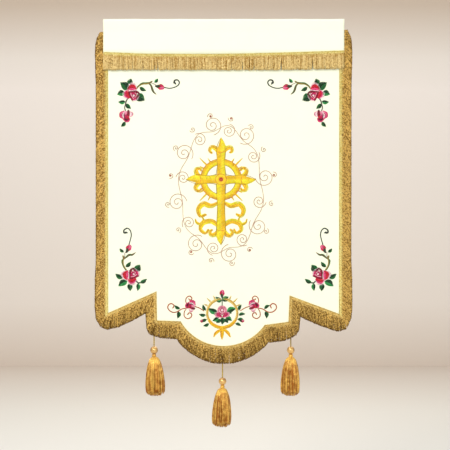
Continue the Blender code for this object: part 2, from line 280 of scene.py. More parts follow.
def polyesterSatin(name, colour, deepColour, threadMm=0.9):
    # Polyester satin, woven: smooth and faintly lustrous, with the fine cross ribs of its weave.
    # Its real threads are 0.2 mm apart, and are drawn coarser so that they show.
    material, tree, shader = newMaterial(name)
    place = addNode(tree, "ShaderNodeTexCoord")
    wave = {"Scale": math.pi / (10 * threadMm * mm), "Distortion": 0.6, "Detail": 1.0, "Detail Scale": 2.0}
    warp, weft = [addNode(tree, "ShaderNodeTexWave", {"bands_direction": direction, **wave},
                          {"Vector": place.outputs["Object"]}) for direction in ("X", "Z")]
    weave = addNode(tree, "ShaderNodeMath", {"operation": "MULTIPLY"},
                    {0: warp.outputs[1], 1: weft.outputs[1]})
    slub = addNode(tree, "ShaderNodeTexNoise", {"Scale": 9.0, "Detail": 4.0, "Roughness": 0.6},
                   {"Vector": place.outputs["Object"]})
    share = addNode(tree, "ShaderNodeMapRange",
                    {"From Min": 0.35, "From Max": 0.8, "To Min": 0.0, "To Max": 0.5},
                    {"Value": slub.outputs[0]})
    tint = addNode(tree, "ShaderNodeMix", {"data_type": "RGBA", 6: linear(colour), 7: linear(deepColour)},
                   {0: share.outputs[0]})
    bump = addNode(tree, "ShaderNodeBump", {"Strength": 0.18, "Distance": 0.2 * mm},
                   {"Height": weave.outputs[0]})
    setShader(tree, shader, {"Roughness": 0.62, "Specular IOR Level": 0.35, "Sheen Weight": 0.12,
                             "Sheen Roughness": 0.4},
              {"Base Color": tint.outputs[2], "Normal": bump.outputs[0]})
    return material


def slantedPlies(tree, twistMm, crest):
    # A height that is 0 in the groove between two plies and 1 where their wave passes the crest
    thread = addNode(tree, "ShaderNodeUVMap", {"uv_map": "thread"})
    split = addNode(tree, "ShaderNodeSeparateXYZ", {}, {0: thread.outputs[0]})
    turns = addNode(tree, "ShaderNodeMath", {"operation": "MULTIPLY_ADD", 1: 1 / (twistMm * mm)},
                    {0: split.outputs[1], 2: split.outputs[0]})
    angle = addNode(tree, "ShaderNodeMath", {"operation": "MULTIPLY", 1: 2 * math.pi}, {0: turns.outputs[0]})
    ridge = addNode(tree, "ShaderNodeMath", {"operation": "SINE"}, {0: angle.outputs[0]})
    return addNode(tree, "ShaderNodeMapRange", {"From Min": -1.0, "From Max": crest},
                   {"Value": ridge.outputs[0]})


def twistedYarn(name, dark, light, groove, metallic, roughness, twistMm, grooveShare=0.5, coat=0.0,
                fleckMm=5.0, fleckDepth=4.0, relief=0.7):
    # Plied yarn: the eye gets slanted ridges with dark lines between them, painted shade in the grooves as
    # well as bump, and strands that differ a little
    material, tree, shader = newMaterial(name)
    height = slantedPlies(tree, twistMm, 0.6)
    tone = addNode(tree, "ShaderNodeAttribute", {"attribute_name": "tone"})
    place = addNode(tree, "ShaderNodeTexCoord")
    shifted = addNode(tree, "ShaderNodeVectorMath", {"operation": "ADD", 1: (0, 0.35 * fleckMm * mm, 0)},
                      {0: place.outputs["Object"]})
    fleck = addNode(tree, "ShaderNodeTexNoise", {"Scale": 1000 / fleckMm, "Detail": 2.0},
                    {"Vector": shifted.outputs[0]})
    blend = addNode(tree, "ShaderNodeMath", {"operation": "MULTIPLY_ADD", 1: fleckDepth, "use_clamp": True},
                    {0: fleck.outputs[0]})
    shift = addNode(tree, "ShaderNodeMath", {"operation": "SUBTRACT", 1: fleckDepth / 2},
                    {0: tone.outputs["Fac"]})
    tree.links.new(shift.outputs[0], blend.inputs[2])
    body = addNode(tree, "ShaderNodeMix", {"data_type": "RGBA", 6: linear(dark), 7: linear(light)},
                   {0: blend.outputs[0]})
    # Painted shade: down in the grooves the colour is mixed towards the dark groove colour
    depth = addNode(tree, "ShaderNodeMapRange", {"To Min": grooveShare, "To Max": 0.0},
                    {"Value": height.outputs[0]})
    colour = addNode(tree, "ShaderNodeMix", {"data_type": "RGBA", 7: linear(groove)},
                     {0: depth.outputs[0], 6: body.outputs[2]})
    bump = addNode(tree, "ShaderNodeBump", {"Strength": relief, "Distance": 0.35 * mm},
                   {"Height": height.outputs[0]})
    setShader(tree, shader, {"Metallic": metallic, "Roughness": roughness, "Coat Weight": coat,
                             "Coat Roughness": 0.25},
              {"Base Color": colour.outputs[2], "Normal": bump.outputs[0]})
    return material


# Each yarn's third colour is painted shade for the grooves between its plies
# Gold lurex bullion: metallised film round a core, twisted, so it glitters between ochre and pale gold
goldBullion = twistedYarn("gold lurex bullion", "#805A08", "#EAC269", "#4A3006", 0.50, 0.38, 4.0, fleckMm=4.8)
topBullion = twistedYarn("pale gold lurex bullion", "#A87E26", "#F2DA98", "#806020", 0.30, 0.40, 4.0,
                         fleckMm=5.4, fleckDepth=2.6)
deepBullion = twistedYarn("deep gold lurex bullion", "#785406", "#EAC268", "#3C2604", 0.50, 0.38, 4.0,
                          fleckMm=4.8)
# Gimp braid: lurex wrapped flat over a cord, smoother and paler than the strands
goldGimp = twistedYarn("gold gimp braid", "#C8A044", "#EED488", "#987024", 0.25, 0.36, 1.6, 0.30)
paleGimp = twistedYarn("pale gold gimp braid", "#D6C060", "#F4E8A0", "#A88A38", 0.25, 0.36, 1.6, 0.30)
# Rayon floss: glossy, fine and soft, with long highlights
goldRayon = twistedYarn("gold rayon floss", "#AE680C", "#FFD064", "#7C480C", 0.45, 0.34, 7.0,
                        grooveShare=0.30, coat=0.2, fleckMm=14.0, fleckDepth=2.4)
# Cord: the same rayon plied hard, so it looks darker and duller than the skirts
cordRayon = twistedYarn("gold rayon cord", "#8E7420", "#C9AA48", "#5A440E", 0.10, 0.42, 7.0, 0.5, 0.0, 20.0)
# Bead: rayon wound flat and close, smooth enough to catch the light like polished brass
beadRayon = twistedYarn("wound gold rayon", "#8A5818", "#E0B264", "#6E4416", 0.50, 0.26, 9.0, 0.15, 1.0, 30.0,
                        relief=0.1)
ivorySatin = polyesterSatin("ivory polyester satin", "#EDF2DC", "#EAEDD6")


def stitchingFloss(name, roughness, coat, twistMm):
    # Dyed rayon floss: each stitch has its own dye and a bright silky line, with painted shade darkening the
    # lines between plies
    material, tree, shader = newMaterial(name)
    height = slantedPlies(tree, twistMm, 0.4)
    dye = addNode(tree, "ShaderNodeAttribute", {"attribute_name": "dye"})
    # Painted shade: the dye is darkened down to 0.86 in the grooves between plies
    shade = addNode(tree, "ShaderNodeMapRange", {"To Min": 0.86, "To Max": 1.0}, {"Value": height.outputs[0]})
    colour = addNode(tree, "ShaderNodeMix", {"data_type": "RGBA", "blend_type": "MULTIPLY", 0: 1.0},
                     {6: dye.outputs["Color"], 7: shade.outputs[0]})
    bump = addNode(tree, "ShaderNodeBump", {"Strength": 0.4, "Distance": 0.2 * mm},
                   {"Height": height.outputs[0]})
    setShader(tree, shader, {"Roughness": roughness, "Coat Weight": coat, "Coat Roughness": 0.3},
              {"Base Color": colour.outputs[2], "Normal": bump.outputs[0]})
    return material


flossRayon = stitchingFloss("rayon embroidery floss", 0.50, 0.08, 3.0)
stitchThread = stitchingFloss("polyester sewing thread", 0.6, 0.0, 1.5)
print("materials made")


# Camera

def makeCamera():
    data = bpy.data.cameras.new("camera")
    data.sensor_width = photoView["sensorMm"]
    seenWidth = photoView["widthPx"] * photoView["metresPerPx"]
    data.lens = photoView["sensorMm"] * photoView["distance"] / seenWidth
    camera = addObject("camera", data)
    camera.location = (photoView["aimX"], -photoView["distance"], photoView["aimZ"])
    camera.rotation_euler = (math.pi / 2, 0, 0)
    bpy.context.scene.camera = camera


makeCamera()
print("camera placed")


# Tassels: each hangs on a twisted cord behind the fringe

tassel = {
    "places": (   # side, x, top of the cord, middle of the bead, sideways lean of the foot
        ("left", -260.1 * mm, -1115.2 * mm, -1235.1 * mm, 4.8 * mm),
        ("centre", -4.5 * mm, -1215.2 * mm, -1351.8 * mm, -3.0 * mm),
        ("right", 250.3 * mm, -1120.2 * mm, -1235.1 * mm, -1.5 * mm),
    ),
    "cordDiameter": 5.0 * mm,
    "cordTwist": 11 * mm,
    "beadRadius": 14.5 * mm,
    "beadThreads": 44,
    "neckRadius": 6.0 * mm,
    "neckHeight": 9.5 * mm,
    "bindingTurns": 7,
    "neckRings": ((0.6, 5.9), (-3.0, 5.9), (-9.0, 5.9), (-11.0, 5.0)),   # height and radius in mm
    "neckSides": 32,
    "skirtLength": 143.5 * mm,
    "skirtRadii": (   # share of the length, radius in mm
        (0.0, 6.4), (0.02, 12.0), (0.05, 16.5), (0.12, 21.5), (0.24, 27.0), (0.42, 32.0), (0.65, 35.4),
        (0.85, 36.4), (1.0, 34.6)),
    "skirtLayers": (   # strands, share of the radius, length, thickness of a strand at the foot
        (116, 1.00, 0.915, 1.35 * mm),
        (84, 0.90, 0.955, 1.4 * mm),
        (44, 0.62, 0.995, 1.7 * mm),
    ),
    "skirtWave": 0.9 * mm,
}


def smoothNoise(chance, count, reach):
    raw = chance.normal(0, 1, count + 4 * reach)
    kernel = np.hanning(2 * reach + 1)
    kernel /= np.sqrt(np.sum(kernel**2))
    return np.convolve(raw, kernel, mode="same")[2 * reach:2 * reach + count]


def leanAbout(points, x, z, lean):
    # Swings points about the bead by the lean, as the hanging tassel does
    angle = math.atan2(lean, tassel["skirtLength"])
    dx, dz = points[..., 0] - x, points[..., 2] - z
    turned = points.copy()
    turned[..., 0] = x + dx * math.cos(angle) - dz * math.sin(angle)
    turned[..., 2] = z + dx * math.sin(angle) + dz * math.cos(angle)
    return turned


def makeCord(side, x, y, topZ, footZ):
    steps = 96
    path = np.stack([np.full(steps, x), np.full(steps, y), np.linspace(topZ, footZ, steps)], axis=1)
    radius = tassel["cordDiameter"] / 2
    arrays = tubeArrays(path[None], radius, 14, lobes=2, lobeDepth=0.10, twistPitch=tassel["cordTwist"])
    cord = addPiece(f"cord_{side}", arrays, [cordRayon], [f"tassel_cord_{side}"],
                    tone=np.full(arrays[3], 0.6))
    return cord


def makeBead(side, x, y, z, lean):
    # Floss wound pole to pole over a ball, so it is finely ribbed and dimpled at the poles
    threads = tassel["beadThreads"]
    around, rings = threads * 4, 26
    fall = np.linspace(0.10, np.pi - 0.10, rings)[:, None]
    rib = 1 + 0.008 * np.cos(threads * evenTurns(around) + 3.0 * fall)
    radius = tassel["beadRadius"] * rib * (1 - 0.05 * np.exp(-((np.sin(fall) / 0.25) ** 2)))
    points = turnedBody(x, y, z + radius * np.cos(fall), radius * np.sin(fall), around)
    return addPiece(f"bead_{side}", gridArrays(leanAbout(points, x, z, lean)), [beadRayon],
                    [f"tassel_bead_{side}"], tone=np.full(around * rings, 0.75))


def makeBinding(side, x, y, z, lean):
    # A thread wound tightly round the neck, as one flat coil
    turns = tassel["bindingTurns"]
    steps = turns * 28 + 1
    share = np.linspace(0, 1, steps)
    height = tassel["neckHeight"] - 1.4 * mm
    thread = height / turns * 0.56
    bulge = 0.8 * mm * np.sin(np.pi * share)
    angle = 2 * np.pi * turns * share
    radius = tassel["neckRadius"] + air + thread + bulge
    path = np.stack([x + radius * np.cos(angle), y + radius * np.sin(angle), z + height * (0.5 - share)],
                    axis=1)
    arrays = tubeArrays(leanAbout(path, x, z, lean)[None], thread, 8)
    return addPiece(f"binding_{side}", arrays, [goldRayon], [f"tassel_binding_{side}"],
                    tone=np.full(arrays[3], 1.1))


def makeSkirt(side, x, y, beadZ, lean, seed):
    chance = np.random.default_rng(seed)
    share = np.concatenate([[0], np.linspace(0, 1, 15) ** 1.4])
    gathered = np.arange(len(share)) == 0   # the first ring is up under the bead, inside the binding
    table = np.array(tassel["skirtRadii"])
    corners = 5
    neckZ = beadZ - tassel["beadRadius"] - air
    parts, tones = [], []
    for strands, radiusShare, lengthShare, thick in tassel["skirtLayers"]:
        turn = (np.arange(strands) + chance.uniform(-0.3, 0.3, strands)) * 2 * np.pi / strands
        length = tassel["skirtLength"] * lengthShare * (1 + chance.normal(0, 0.007, strands))
        profile = np.interp(share, table[:, 0], table[:, 1] * mm)
        swell = 1 + 0.035 * np.sin(3 * turn + seed)[:, None] * share
        swell = swell + chance.normal(0, 0.02, (strands, 1)) * share
        inset = thick * np.interp(share, (0, 0.3, 1), (0.35, 0.8, 1.0))
        radius = np.maximum(profile * radiusShare * swell - inset, 1.2 * mm)
        wavy = np.sin(13 * share + smoothNoise(chance, strands, 4)[:, None] * 1.6) * share**0.6
        wavy = tassel["skirtWave"] * wavy
        drift = turn[:, None] + chance.normal(0, 0.03, (strands, 1)) * share
        drift = drift + wavy / np.maximum(radius, 8 * mm)
        radius = radius - np.abs(wavy) * 0.5
        z = neckZ - np.where(gathered, 1.0 * mm, tassel["neckHeight"] + length[:, None] * share)
        points = np.stack([x + radius * np.cos(drift), y + radius * np.sin(drift), z], axis=-1)
        thickness = thick * np.interp(share, (0, 0.06, 0.3, 0.9, 1), (0.30, 0.5, 0.85, 1.0, 0.8))
        parts.append(tubeArrays(leanAbout(points, x, beadZ, lean), thickness[None, :], corners))
        # Each strand has its own shade; the inner layers are painted darker as painted shade, and a painted
        # highlight lightens the skirt's top just under the neck
        tone = 0.37 + 0.27 * smoothNoise(chance, strands, 1) - 0.1 * (radiusShare < 1)
        tone = tone[:, None] + 0.75 * np.exp(-((share - 0.07) / 0.11) ** 2)
        tones.append(np.repeat(np.clip(tone, -0.3, 1.4).ravel(), corners))
    # The neck, wrapped in floss, runs from the bead into the gathered threads
    neck = np.array(tassel["neckRings"]) * mm
    points = turnedBody(x, y, neckZ + neck[:, :1], neck[:, 1:], tassel["neckSides"])
    parts.append(gridArrays(leanAbout(points, x, beadZ, lean)))
    tones.append(np.full(len(neck) * tassel["neckSides"], 0.4))
    return addPiece(f"skirt_{side}", joinArrays(parts), [goldRayon], [f"tassel_skirt_{side}"],
                    tone=np.concatenate(tones))


def makeTassels():
    for seed, (side, x, topZ, beadZ, lean) in enumerate(tassel["places"]):
        y = layers["cordY"] + float(hangWave(x, topZ))
        footZ = beadZ + tassel["beadRadius"] + air
        makeCord(side, x, y, topZ, footZ)
        makeBead(side, x, y, beadZ, lean)
        makeBinding(side, x, y, beadZ - tassel["beadRadius"] - air - tassel["neckHeight"] / 2, lean)
        makeSkirt(side, x, y, beadZ, lean, seed + 3)


makeTassels()
print("tassels and cords hung")


# The banner's edge: the inner line of its braid down each half, as (out from the middle, z) in mm

edge = {
    "left": ((431.2, -47.5), (431.2, -1095.8), (250.4, -1014.9), (248.6, -1123.3), (160.3, -1126.7)),
    "right": ((430.8, -40.5), (429.7, -1098.8), (245.2, -1030.2), (241.1, -1128.5), (152.8, -1140.5)),
    "tongueBottom": -1219.0,
    "braidWidth": 16 * mm,
}


def halfOutline(side):
    corners = np.array(edge[side]) * mm
    last = corners[-1]
    bottom = edge["tongueBottom"] * mm
    rise = last[1] - bottom
    radius = (last[0] ** 2 + rise**2) / (2 * rise)
    centre = np.array([0.0, bottom + radius])
    normals = [*acrossOf(unit(np.diff(corners, axis=0))), unit(last - centre)]
    return {"sign": -1 if side == "left" else 1, "corners": corners, "normals": normals,
            "centre": centre, "radius": radius}


def edgeCorner(half, index, outside):
    if index == 0:
        return half["corners"][0] + half["normals"][0] * outside
    before, after = half["normals"][index - 1], half["normals"][index]
    return half["corners"][index] + outside * (before + after) / (1 + before @ after)


def edgePoint(half, run, share, outside):
    # Points of a run, 0 at its upper end, on the line this far outside the braid's inner edge
    share = np.asarray(share, dtype=float)
    start = edgeCorner(half, run, outside)
    if run < len(half["corners"]) - 1:
        end = edgeCorner(half, run + 1, outside)
        flat = start + share[..., None] * (end - start)
    else:
        spoke = start - half["centre"]
        angle = math.atan2(spoke[0], -spoke[1]) * (1 - share)
        radius = half["radius"] + outside
        flat = half["centre"] + radius * np.stack([np.sin(angle), -np.cos(angle)], axis=-1)
    return flat * np.array([half["sign"], 1.0])


halves = {side: halfOutline(side) for side in sides}


# Cloth: one cut panel with its hem turned to the back

cloth = {
    "setback": 2 * mm,         # the cut edge lies this far inside the braid's outer edge
    "gridStep": 11 * mm,
    "hemWidth": 22 * mm,
    "hemFold": 0.8 * mm,       # how far the hem's inner edge slopes
    "hemRise": 0.7 * mm,
    "tonguePoints": 19,
    "ripple": 0.35 * mm,
}


def clothOutline(inside):
    cut = edge["braidWidth"] - cloth["setback"] - inside
    points = []
    for side in sides:
        half = halves[side]
        runs = len(half["corners"])
        line = [edgeCorner(half, i, cut) * np.array([half["sign"], 1]) for i in range(runs)]
        line += list(edgePoint(half, runs - 1, np.linspace(0, 1, cloth["tonguePoints"])[1:-1], cut))
        points.append(line)
    bottom = np.array([0.0, edge["tongueBottom"] * mm - cut])
    return np.array(points[0] + [bottom] + points[1][::-1])


def resampled(loop, step):
    # A closed line with points no further apart than the step, that keeps its corners
    points = []
    for a, b in zip(loop, np.roll(loop, -1, axis=0)):
        count = max(1, int(np.ceil(np.linalg.norm(b - a) / step)))
        points.append(a + (b - a) * (np.arange(count) / count)[:, None])
    return np.concatenate(points)


def hemLoop(inside):
    # The outline moved inwards, along its straight top edge too
    loop = clothOutline(inside)
    loop[[0, -1], 1] = clothOutline(0.0)[[0, -1], 1] - inside
    return loop


def clothBack(x, z, inHem):
    rise = np.where(inHem, 0.0, cloth["hemRise"])
    return layers["clothFront"] + hangWave(x, z) + layers["clothThick"] - rise


def makeCloth():
    outline, step = clothOutline(0.0), cloth["gridStep"]
    hem, fold = cloth["hemWidth"], cloth["hemFold"]
    loops = [resampled(loop, step) for loop in (outline, hemLoop(hem), hemLoop(hem + fold))]
    low, high = outline.min(0), outline.max(0)
    columns, rows = np.arange(low[0], high[0], step), np.arange(low[1], high[1], step)
    grid = np.stack(np.meshgrid(columns, rows), axis=-1).reshape(-1, 2)
    near = [np.min(np.linalg.norm(grid[:, None] - loop[None], axis=2), axis=1) for loop in loops]
    grid = grid[insideLoop(grid, outline) & (np.min(near, axis=0) > step * 0.55)]
    edges, start = [], 0
    for loop in loops:
        edges += [(start + i, start + (i + 1) % len(loop)) for i in range(len(loop))]
        start += len(loop)
    points = np.concatenate(loops + [grid])
    flat, _, faces, _, _, _ = delaunay_2d_cdt([tuple(p) for p in points], edges, [], 1, 1e-7)
    flat = np.array([tuple(p) for p in flat])
    faces = np.array([f for f in faces if len(f) == 3])
    used, index = np.unique(faces, return_inverse=True)
    flat, faces = flat[used], index.reshape(-1, 3)
    x, z = flat[:, 0], flat[:, 1]
    ripple = cloth["ripple"] * (np.sin(x * 61 + 2.1 * np.sin(z * 5)) + 0.6 * np.sin(x * 23 - z * 9))
    front = layers["clothFront"] + hangWave(x, z) + ripple * 0.4
    inside = insideLoop(flat, hemLoop(hem + fold / 2))
    back = clothBack(x, z, ~inside)
    count = len(flat)
    verts = np.concatenate([np.stack([x, front, z], 1), np.stack([x, back, z], 1)])
    rim = rimEdges(faces)
    walls = np.stack([rim[:, 1], rim[:, 0], rim[:, 0] + count, rim[:, 1] + count], axis=1)
    faceSets = [faces, faces[:, ::-1] + count, walls]
    arrays = (verts, faceSets, noUvs(faceSets), 2 * count)
    piece = addPiece("cloth", arrays, [ivorySatin], ["banner_cloth"])
    nextX, nextZ = np.roll(outline[:, 0], -1), np.roll(outline[:, 1], -1)
    area = abs(np.sum(outline[:, 0] * nextZ - nextX * outline[:, 1])) / 2
    return piece, high - low, area


def insideLoop(points, loop):
    # Even-odd test of points against a closed line
    inside = np.zeros(len(points), bool)
    for a, b in zip(loop, np.roll(loop, -1, axis=0)):
        crosses = (a[1] > points[:, 1]) != (b[1] > points[:, 1])
        with np.errstate(divide="ignore", invalid="ignore"):
            at = a[0] + (points[:, 1] - a[1]) * (b[0] - a[0]) / (b[1] - a[1])
        inside ^= crosses & (points[:, 0] < at - 1e-6)
    return inside


def rimEdges(faces):
    directed = np.concatenate([faces[:, [0, 1]], faces[:, [1, 2]], faces[:, [2, 0]]])
    known = {tuple(e) for e in directed}
    return np.array([e for e in directed if (e[1], e[0]) not in known])


clothPiece, clothSize, clothArea = makeCloth()
print("cloth cut and hemmed")


# Heading: a band folded over into a sleeve, stitched across under it

heading = {
    "width": 898 * mm,
    "height": 136 * mm,
    "sleeveRadius": 8 * mm,
    "sleeveHeight": 38 * mm,
    "columns": 120,
    "levels": (-136, -110, -80, -55, -44),   # rows of the seam and the flat part, in mm
    "arcPoints": 19,
    "layer": 1.2 * mm,
    "sag": 0.5 * mm,
}


def makeHeading():
    radius, layer = heading["sleeveRadius"], heading["layer"]
    middle = -radius - layer - air
    arc = np.linspace(np.pi, 0, heading["arcPoints"])
    levels = np.array(heading["levels"]) * mm

    def skin(reach, gap, closing):
        # Up the front, over the crossbar's place and down the back
        front = [(-gap, z) for z in levels] + [(-gap, closing)]
        over = [(reach * math.cos(a), middle + reach * math.sin(a)) for a in arc]
        return np.array(front + over + [(-y, z) for y, z in front[::-1]])

    outer = skin(radius + layer, layer + 0.1 * mm, -heading["sleeveHeight"])
    inner = skin(radius, 0.1 * mm, -heading["sleeveHeight"] + 2.5 * mm)
    section = np.concatenate([outer, inner[::-1]])
    columns, n = heading["columns"], len(outer)
    x = np.linspace(-heading["width"] / 2, heading["width"] / 2, columns)
    sag = heading["sag"] * (np.sin(x * 31) + 0.6 * np.sin(x * 73 + 1))
    rise = np.clip((section[:, 1] + heading["sleeveHeight"]) / heading["sleeveHeight"], 0, 1)
    y = section[None, :, 0] * (1 + 0.10 * rise[None, :] * np.sin(x * 17)[:, None])
    z = section[None, :, 1] + sag[:, None] * rise[None, :] * 0.6
    points = np.stack([np.broadcast_to(x[:, None], y.shape), y, z], axis=-1)
    verts, (skinFaces, _), _, total = gridArrays(points)
    ends = []
    for column in (0, columns - 1):
        for a in range(n - 1):
            quad = [a, a + 1, 2 * n - 2 - a, 2 * n - 1 - a]
            ends.append([column * 2 * n + c for c in (quad if column == 0 else quad[::-1])])
    faceSets = [skinFaces, np.array(ends)]
    arrays = (verts, faceSets, noUvs(faceSets), total)
    return addPiece("heading", arrays, [ivorySatin], ["heading_sleeve"])


headingPiece = makeHeading()
print("heading folded")


# Stitching tools: every stitch is a thread of its own, arched over the cloth

floss = {
    "pitch": 1.15 * mm,
    "radius": 0.72 * mm,
    "lift": 0.75 * mm,
    "jitter": 0.22 * mm,
    "overlap": 0.5,        # mm that each end runs on, so that its point is hidden by the next stitch
    "stemReach": 1.9,      # half the length of a stem stitch in mm
    "leafFullness": 1.18,
    "leafSlant": 0.24,     # how far up its leaf a stitch runs, as a share of the leaf
}

# Dyes of the floss; the dark gold used for the emblem's outlines is painted shadow along its edges
dyes = {
    "white": "#FBEDEE", "palePink": "#F8C4D3", "pink": "#EC5C92", "magenta": "#D8186C", "red": "#CC0E2E",
    "crimson": "#A40C30", "maroon": "#640C28", "ink": "#30151C", "deepGreen": "#0C4420", "green": "#187034",
    "freshGreen": "#34A054", "greyGreen": "#28322C", "goldGreen": "#9A9238", "copper": "#BE6B4A",
    "rose": "#C0583E", "mauve": "#8E6F72", "paleCopper": "#C89A84", "roseCopper": "#B4705C",
    "gold": "#FAD022", "brightGold": "#FCEA2E", "oldGold": "#EEB41E", "paleGold": "#F3DC8C",
    "shadowLineGold": "#B48A28", "outlineRed": "#CF3038", "ivory": "#FFFDF0", "straw": "#D8B65C",
}
dyeRgb = {name: np.array(linear(value)[:3]) for name, value in dyes.items()}


def newPile(originX, originZ, mirror=False, seed=1):
    # A pile gathers the ends and dyes of one piece's stitches, in millimetres from the piece's own origin
    return {"x": originX * mm, "z": originZ * mm, "sign": -1 if mirror else 1, "starts": [], "ends": [],
            "first": [], "second": [], "radius": [], "lift": [], "chance": np.random.default_rng(seed)}


def addStitches(pile, starts, ends, first, second=None, radius=None, lift=0.0):
    starts, ends = np.asarray(starts), np.asarray(ends)
    count = len(starts)
    noise = pile["chance"].normal(0, floss["jitter"] / mm / 2, (2, count, 2))
    pile["starts"].append(starts + noise[0])
    pile["ends"].append(ends + noise[1])
    tone = 1 + pile["chance"].normal(0, 0.10, (count, 1))
    pile["first"].append(dyeRgb[first] * tone)
    pile["second"].append(dyeRgb[second or first] * tone)
    pile["radius"].append(np.full(count, floss["radius"] if radius is None else radius))
    pile["lift"].append(np.full(count, floss["lift"] + lift * mm))


def smoothLine(points, steps=12):
    # A curve through every point, in millimetres
    points = np.asarray(points, dtype=float)
    padded = np.concatenate([[2 * points[0] - points[1]], points, [2 * points[-1] - points[-2]]])
    t = np.linspace(0, 1, steps, endpoint=False)[:, None]
    pieces = []
    for a, b, c, d in zip(padded, padded[1:], padded[2:], padded[3:]):
        pieces.append(0.5 * (2 * b + (c - a) * t + (2 * a - 5 * b + 4 * c - d) * t**2
                             + (3 * b - a - 3 * c + d) * t**3))
    return np.concatenate(pieces + [points[-1:]])


def evenly(line, count):
    line = np.asarray(line, dtype=float)
    step = np.linalg.norm(np.diff(line, axis=0), axis=1)
    along = np.concatenate([[0], np.cumsum(step)])
    share = np.linspace(0, 1, count)
    points = np.stack([np.interp(share * along[-1], along, line[:, i]) for i in range(2)], axis=1)
    return points, unit(np.gradient(points, axis=0)), share


def lineLength(line):
    return float(np.sum(np.linalg.norm(np.diff(np.asarray(line, dtype=float), axis=0), axis=1)))


def countOf(line, pitch=None):
    return max(4, int(round(lineLength(line) / ((pitch or floss["pitch"]) / mm))))


def arcLine(x, z, radius, start, end, count=40, squash=1.0):
    angle = np.radians(np.linspace(start, end, count))
    return np.stack([x + radius * np.cos(angle), z + radius * squash * np.sin(angle)], axis=1)


def circle(x, z, radius, count=40):
    return arcLine(x, z, radius, 0, 360, count)


def fan(pile, inner, outer, zones, lift=0.0, pitch=None):
    # Threads run from the inner line to the outer one, in zones whose ends interlock
    count = max(countOf(outer, pitch), countOf(inner, pitch))
    a, b = evenly(inner, count)[0], evenly(outer, count)[0]
    uneven = pile["chance"].uniform(-0.05, 0.05, (len(zones) + 1, count, 1))
    uneven[[0, -1]] = 0
    for i, (start, end, first, second) in enumerate(zones):
        addStitches(pile, a + (b - a) * (start + uneven[i]), a + (b - a) * (end + uneven[i + 1]),
                    first, second, lift=lift)


def band(pile, line, widths, first, second=None, slant=0.45, lift=0.0, pitch=None, split=False):
    # Satin stitch across a line; a split band is stitched in two halves of two shades
    points, tangent, share = evenly(line, countOf(line, pitch))
    normal = acrossOf(tangent)
    half = np.interp(share, np.linspace(0, 1, len(widths)), widths)[:, None] / 2
    starts = points + normal * half - tangent * half * slant
    ends = points - normal * half + tangent * half * slant
    if not split:
        addStitches(pile, starts, ends, first, second, lift=lift)
        return
    middle = (starts + ends) / 2 + normal * half * pile["chance"].uniform(-0.12, 0.12, (len(points), 1))
    over = normal * half * 0.22
    addStitches(pile, starts, middle - over, first, lift=lift)
    addStitches(pile, middle + over, ends, second, lift=lift)


def stemLine(pile, line, first, second=None, width=1.5, lift=0.0):
    # Stem stitch: long stitches that overlap like the strands of a rope
    points, tangent, _ = evenly(line, countOf(line, floss["stemReach"] * mm))
    reach, aside = tangent * floss["stemReach"], acrossOf(tangent) * width * 0.16
    addStitches(pile, points - reach + aside, points + reach - aside, first, second,
                radius=width * mm / 2, lift=lift)


def leaf(pile, baseX, baseZ, tipX, tipZ, width, light="green", dark="deepGreen", bend=0.10, lift=0.0):
    # Two slanted halves of satin stitch, with a vein down the middle
    base = np.array([baseX, baseZ], float)
    axis = np.array([tipX, tipZ], float) - base
    length = np.linalg.norm(axis)
    axis /= length
    normal = acrossOf(axis)
    count = max(8, int(length / (floss["pitch"] / mm)))
    share = np.linspace(-0.08, 0.97, count)[:, None]

    def rib(s):
        return base + axis * s * length + normal * bend * length * np.sin(np.pi * s)

    far = np.clip(share + floss["leafSlant"], 0.0, 1.0)
    swell = normal * np.sin(np.pi * far**0.82) ** 0.85 * width * floss["leafFullness"] / 2
    for sign, dye in ((1, light), (-1, dark)):
        addStitches(pile, rib(np.clip(share, 0, 1)), rib(far) + sign * swell, dye, lift=lift)
    vein = rib(np.linspace(0.02, 0.8, 14)[:, None])
    stemLine(pile, vein, "ink" if light != "freshGreen" else "deepGreen", width=1.0, lift=lift + 0.35)


def buildPile(pile, name):
    # Turns the gathered stitches into threads that rise over the cloth and dive into it at both ends
    starts, ends = np.concatenate(pile["starts"]), np.concatenate(pile["ends"])
    further = unit(ends - starts) * floss["overlap"]
    starts, ends = starts - further, ends + further
    share = np.array([0.0, 0.12, 0.88, 1.0])
    flat = starts[:, None, :] + (ends - starts)[:, None, :] * share[None, :, None]
    x = pile["x"] + flat[..., 0] * mm * pile["sign"]
    z = pile["z"] + flat[..., 1] * mm
    length = np.linalg.norm(ends - starts, axis=1) * mm
    lift = np.concatenate(pile["lift"]) + np.minimum(length * 0.03, 0.5 * mm)
    raised = np.where((share > 0) & (share < 1), 1.0, 0.0)
    y = layers["clothFront"] + hangWave(x, z) + 0.35 * mm - (lift[:, None] + 0.1 * mm) * raised
    radius = np.concatenate(pile["radius"])[:, None]
    arrays = tubeArrays(np.stack([x, y, z], axis=-1), radius, 3, flat=0.8, turned=-np.pi / 2, pointed=True)
    first, second = np.concatenate(pile["first"]), np.concatenate(pile["second"])
    colour = first[:, None, :] + (second - first)[:, None, :] * share[None, :, None]
    colour = np.repeat(colour, (1, 3, 3, 1), axis=1).reshape(-1, 3)   # a pointed end has one corner
    return addPiece(name, arrays, [flossRayon], dye=np.clip(colour, 0, 1))


# Roses

def motifLine(x, z, angle=0.0, size=1.0, sign=1):
    # Draws curves through points of a motif's own, moved, turned, sized and mirrored to its place
    cosine, sine = math.cos(math.radians(angle)), math.sin(math.radians(angle))

    def line(*points):
        points = smoothLine(points) * size
        across, up = points[:, 0] * cosine - points[:, 1] * sine, points[:, 0] * sine + points[:, 1] * cosine
        return np.stack([x + sign * across, z + up], axis=1)

    return line


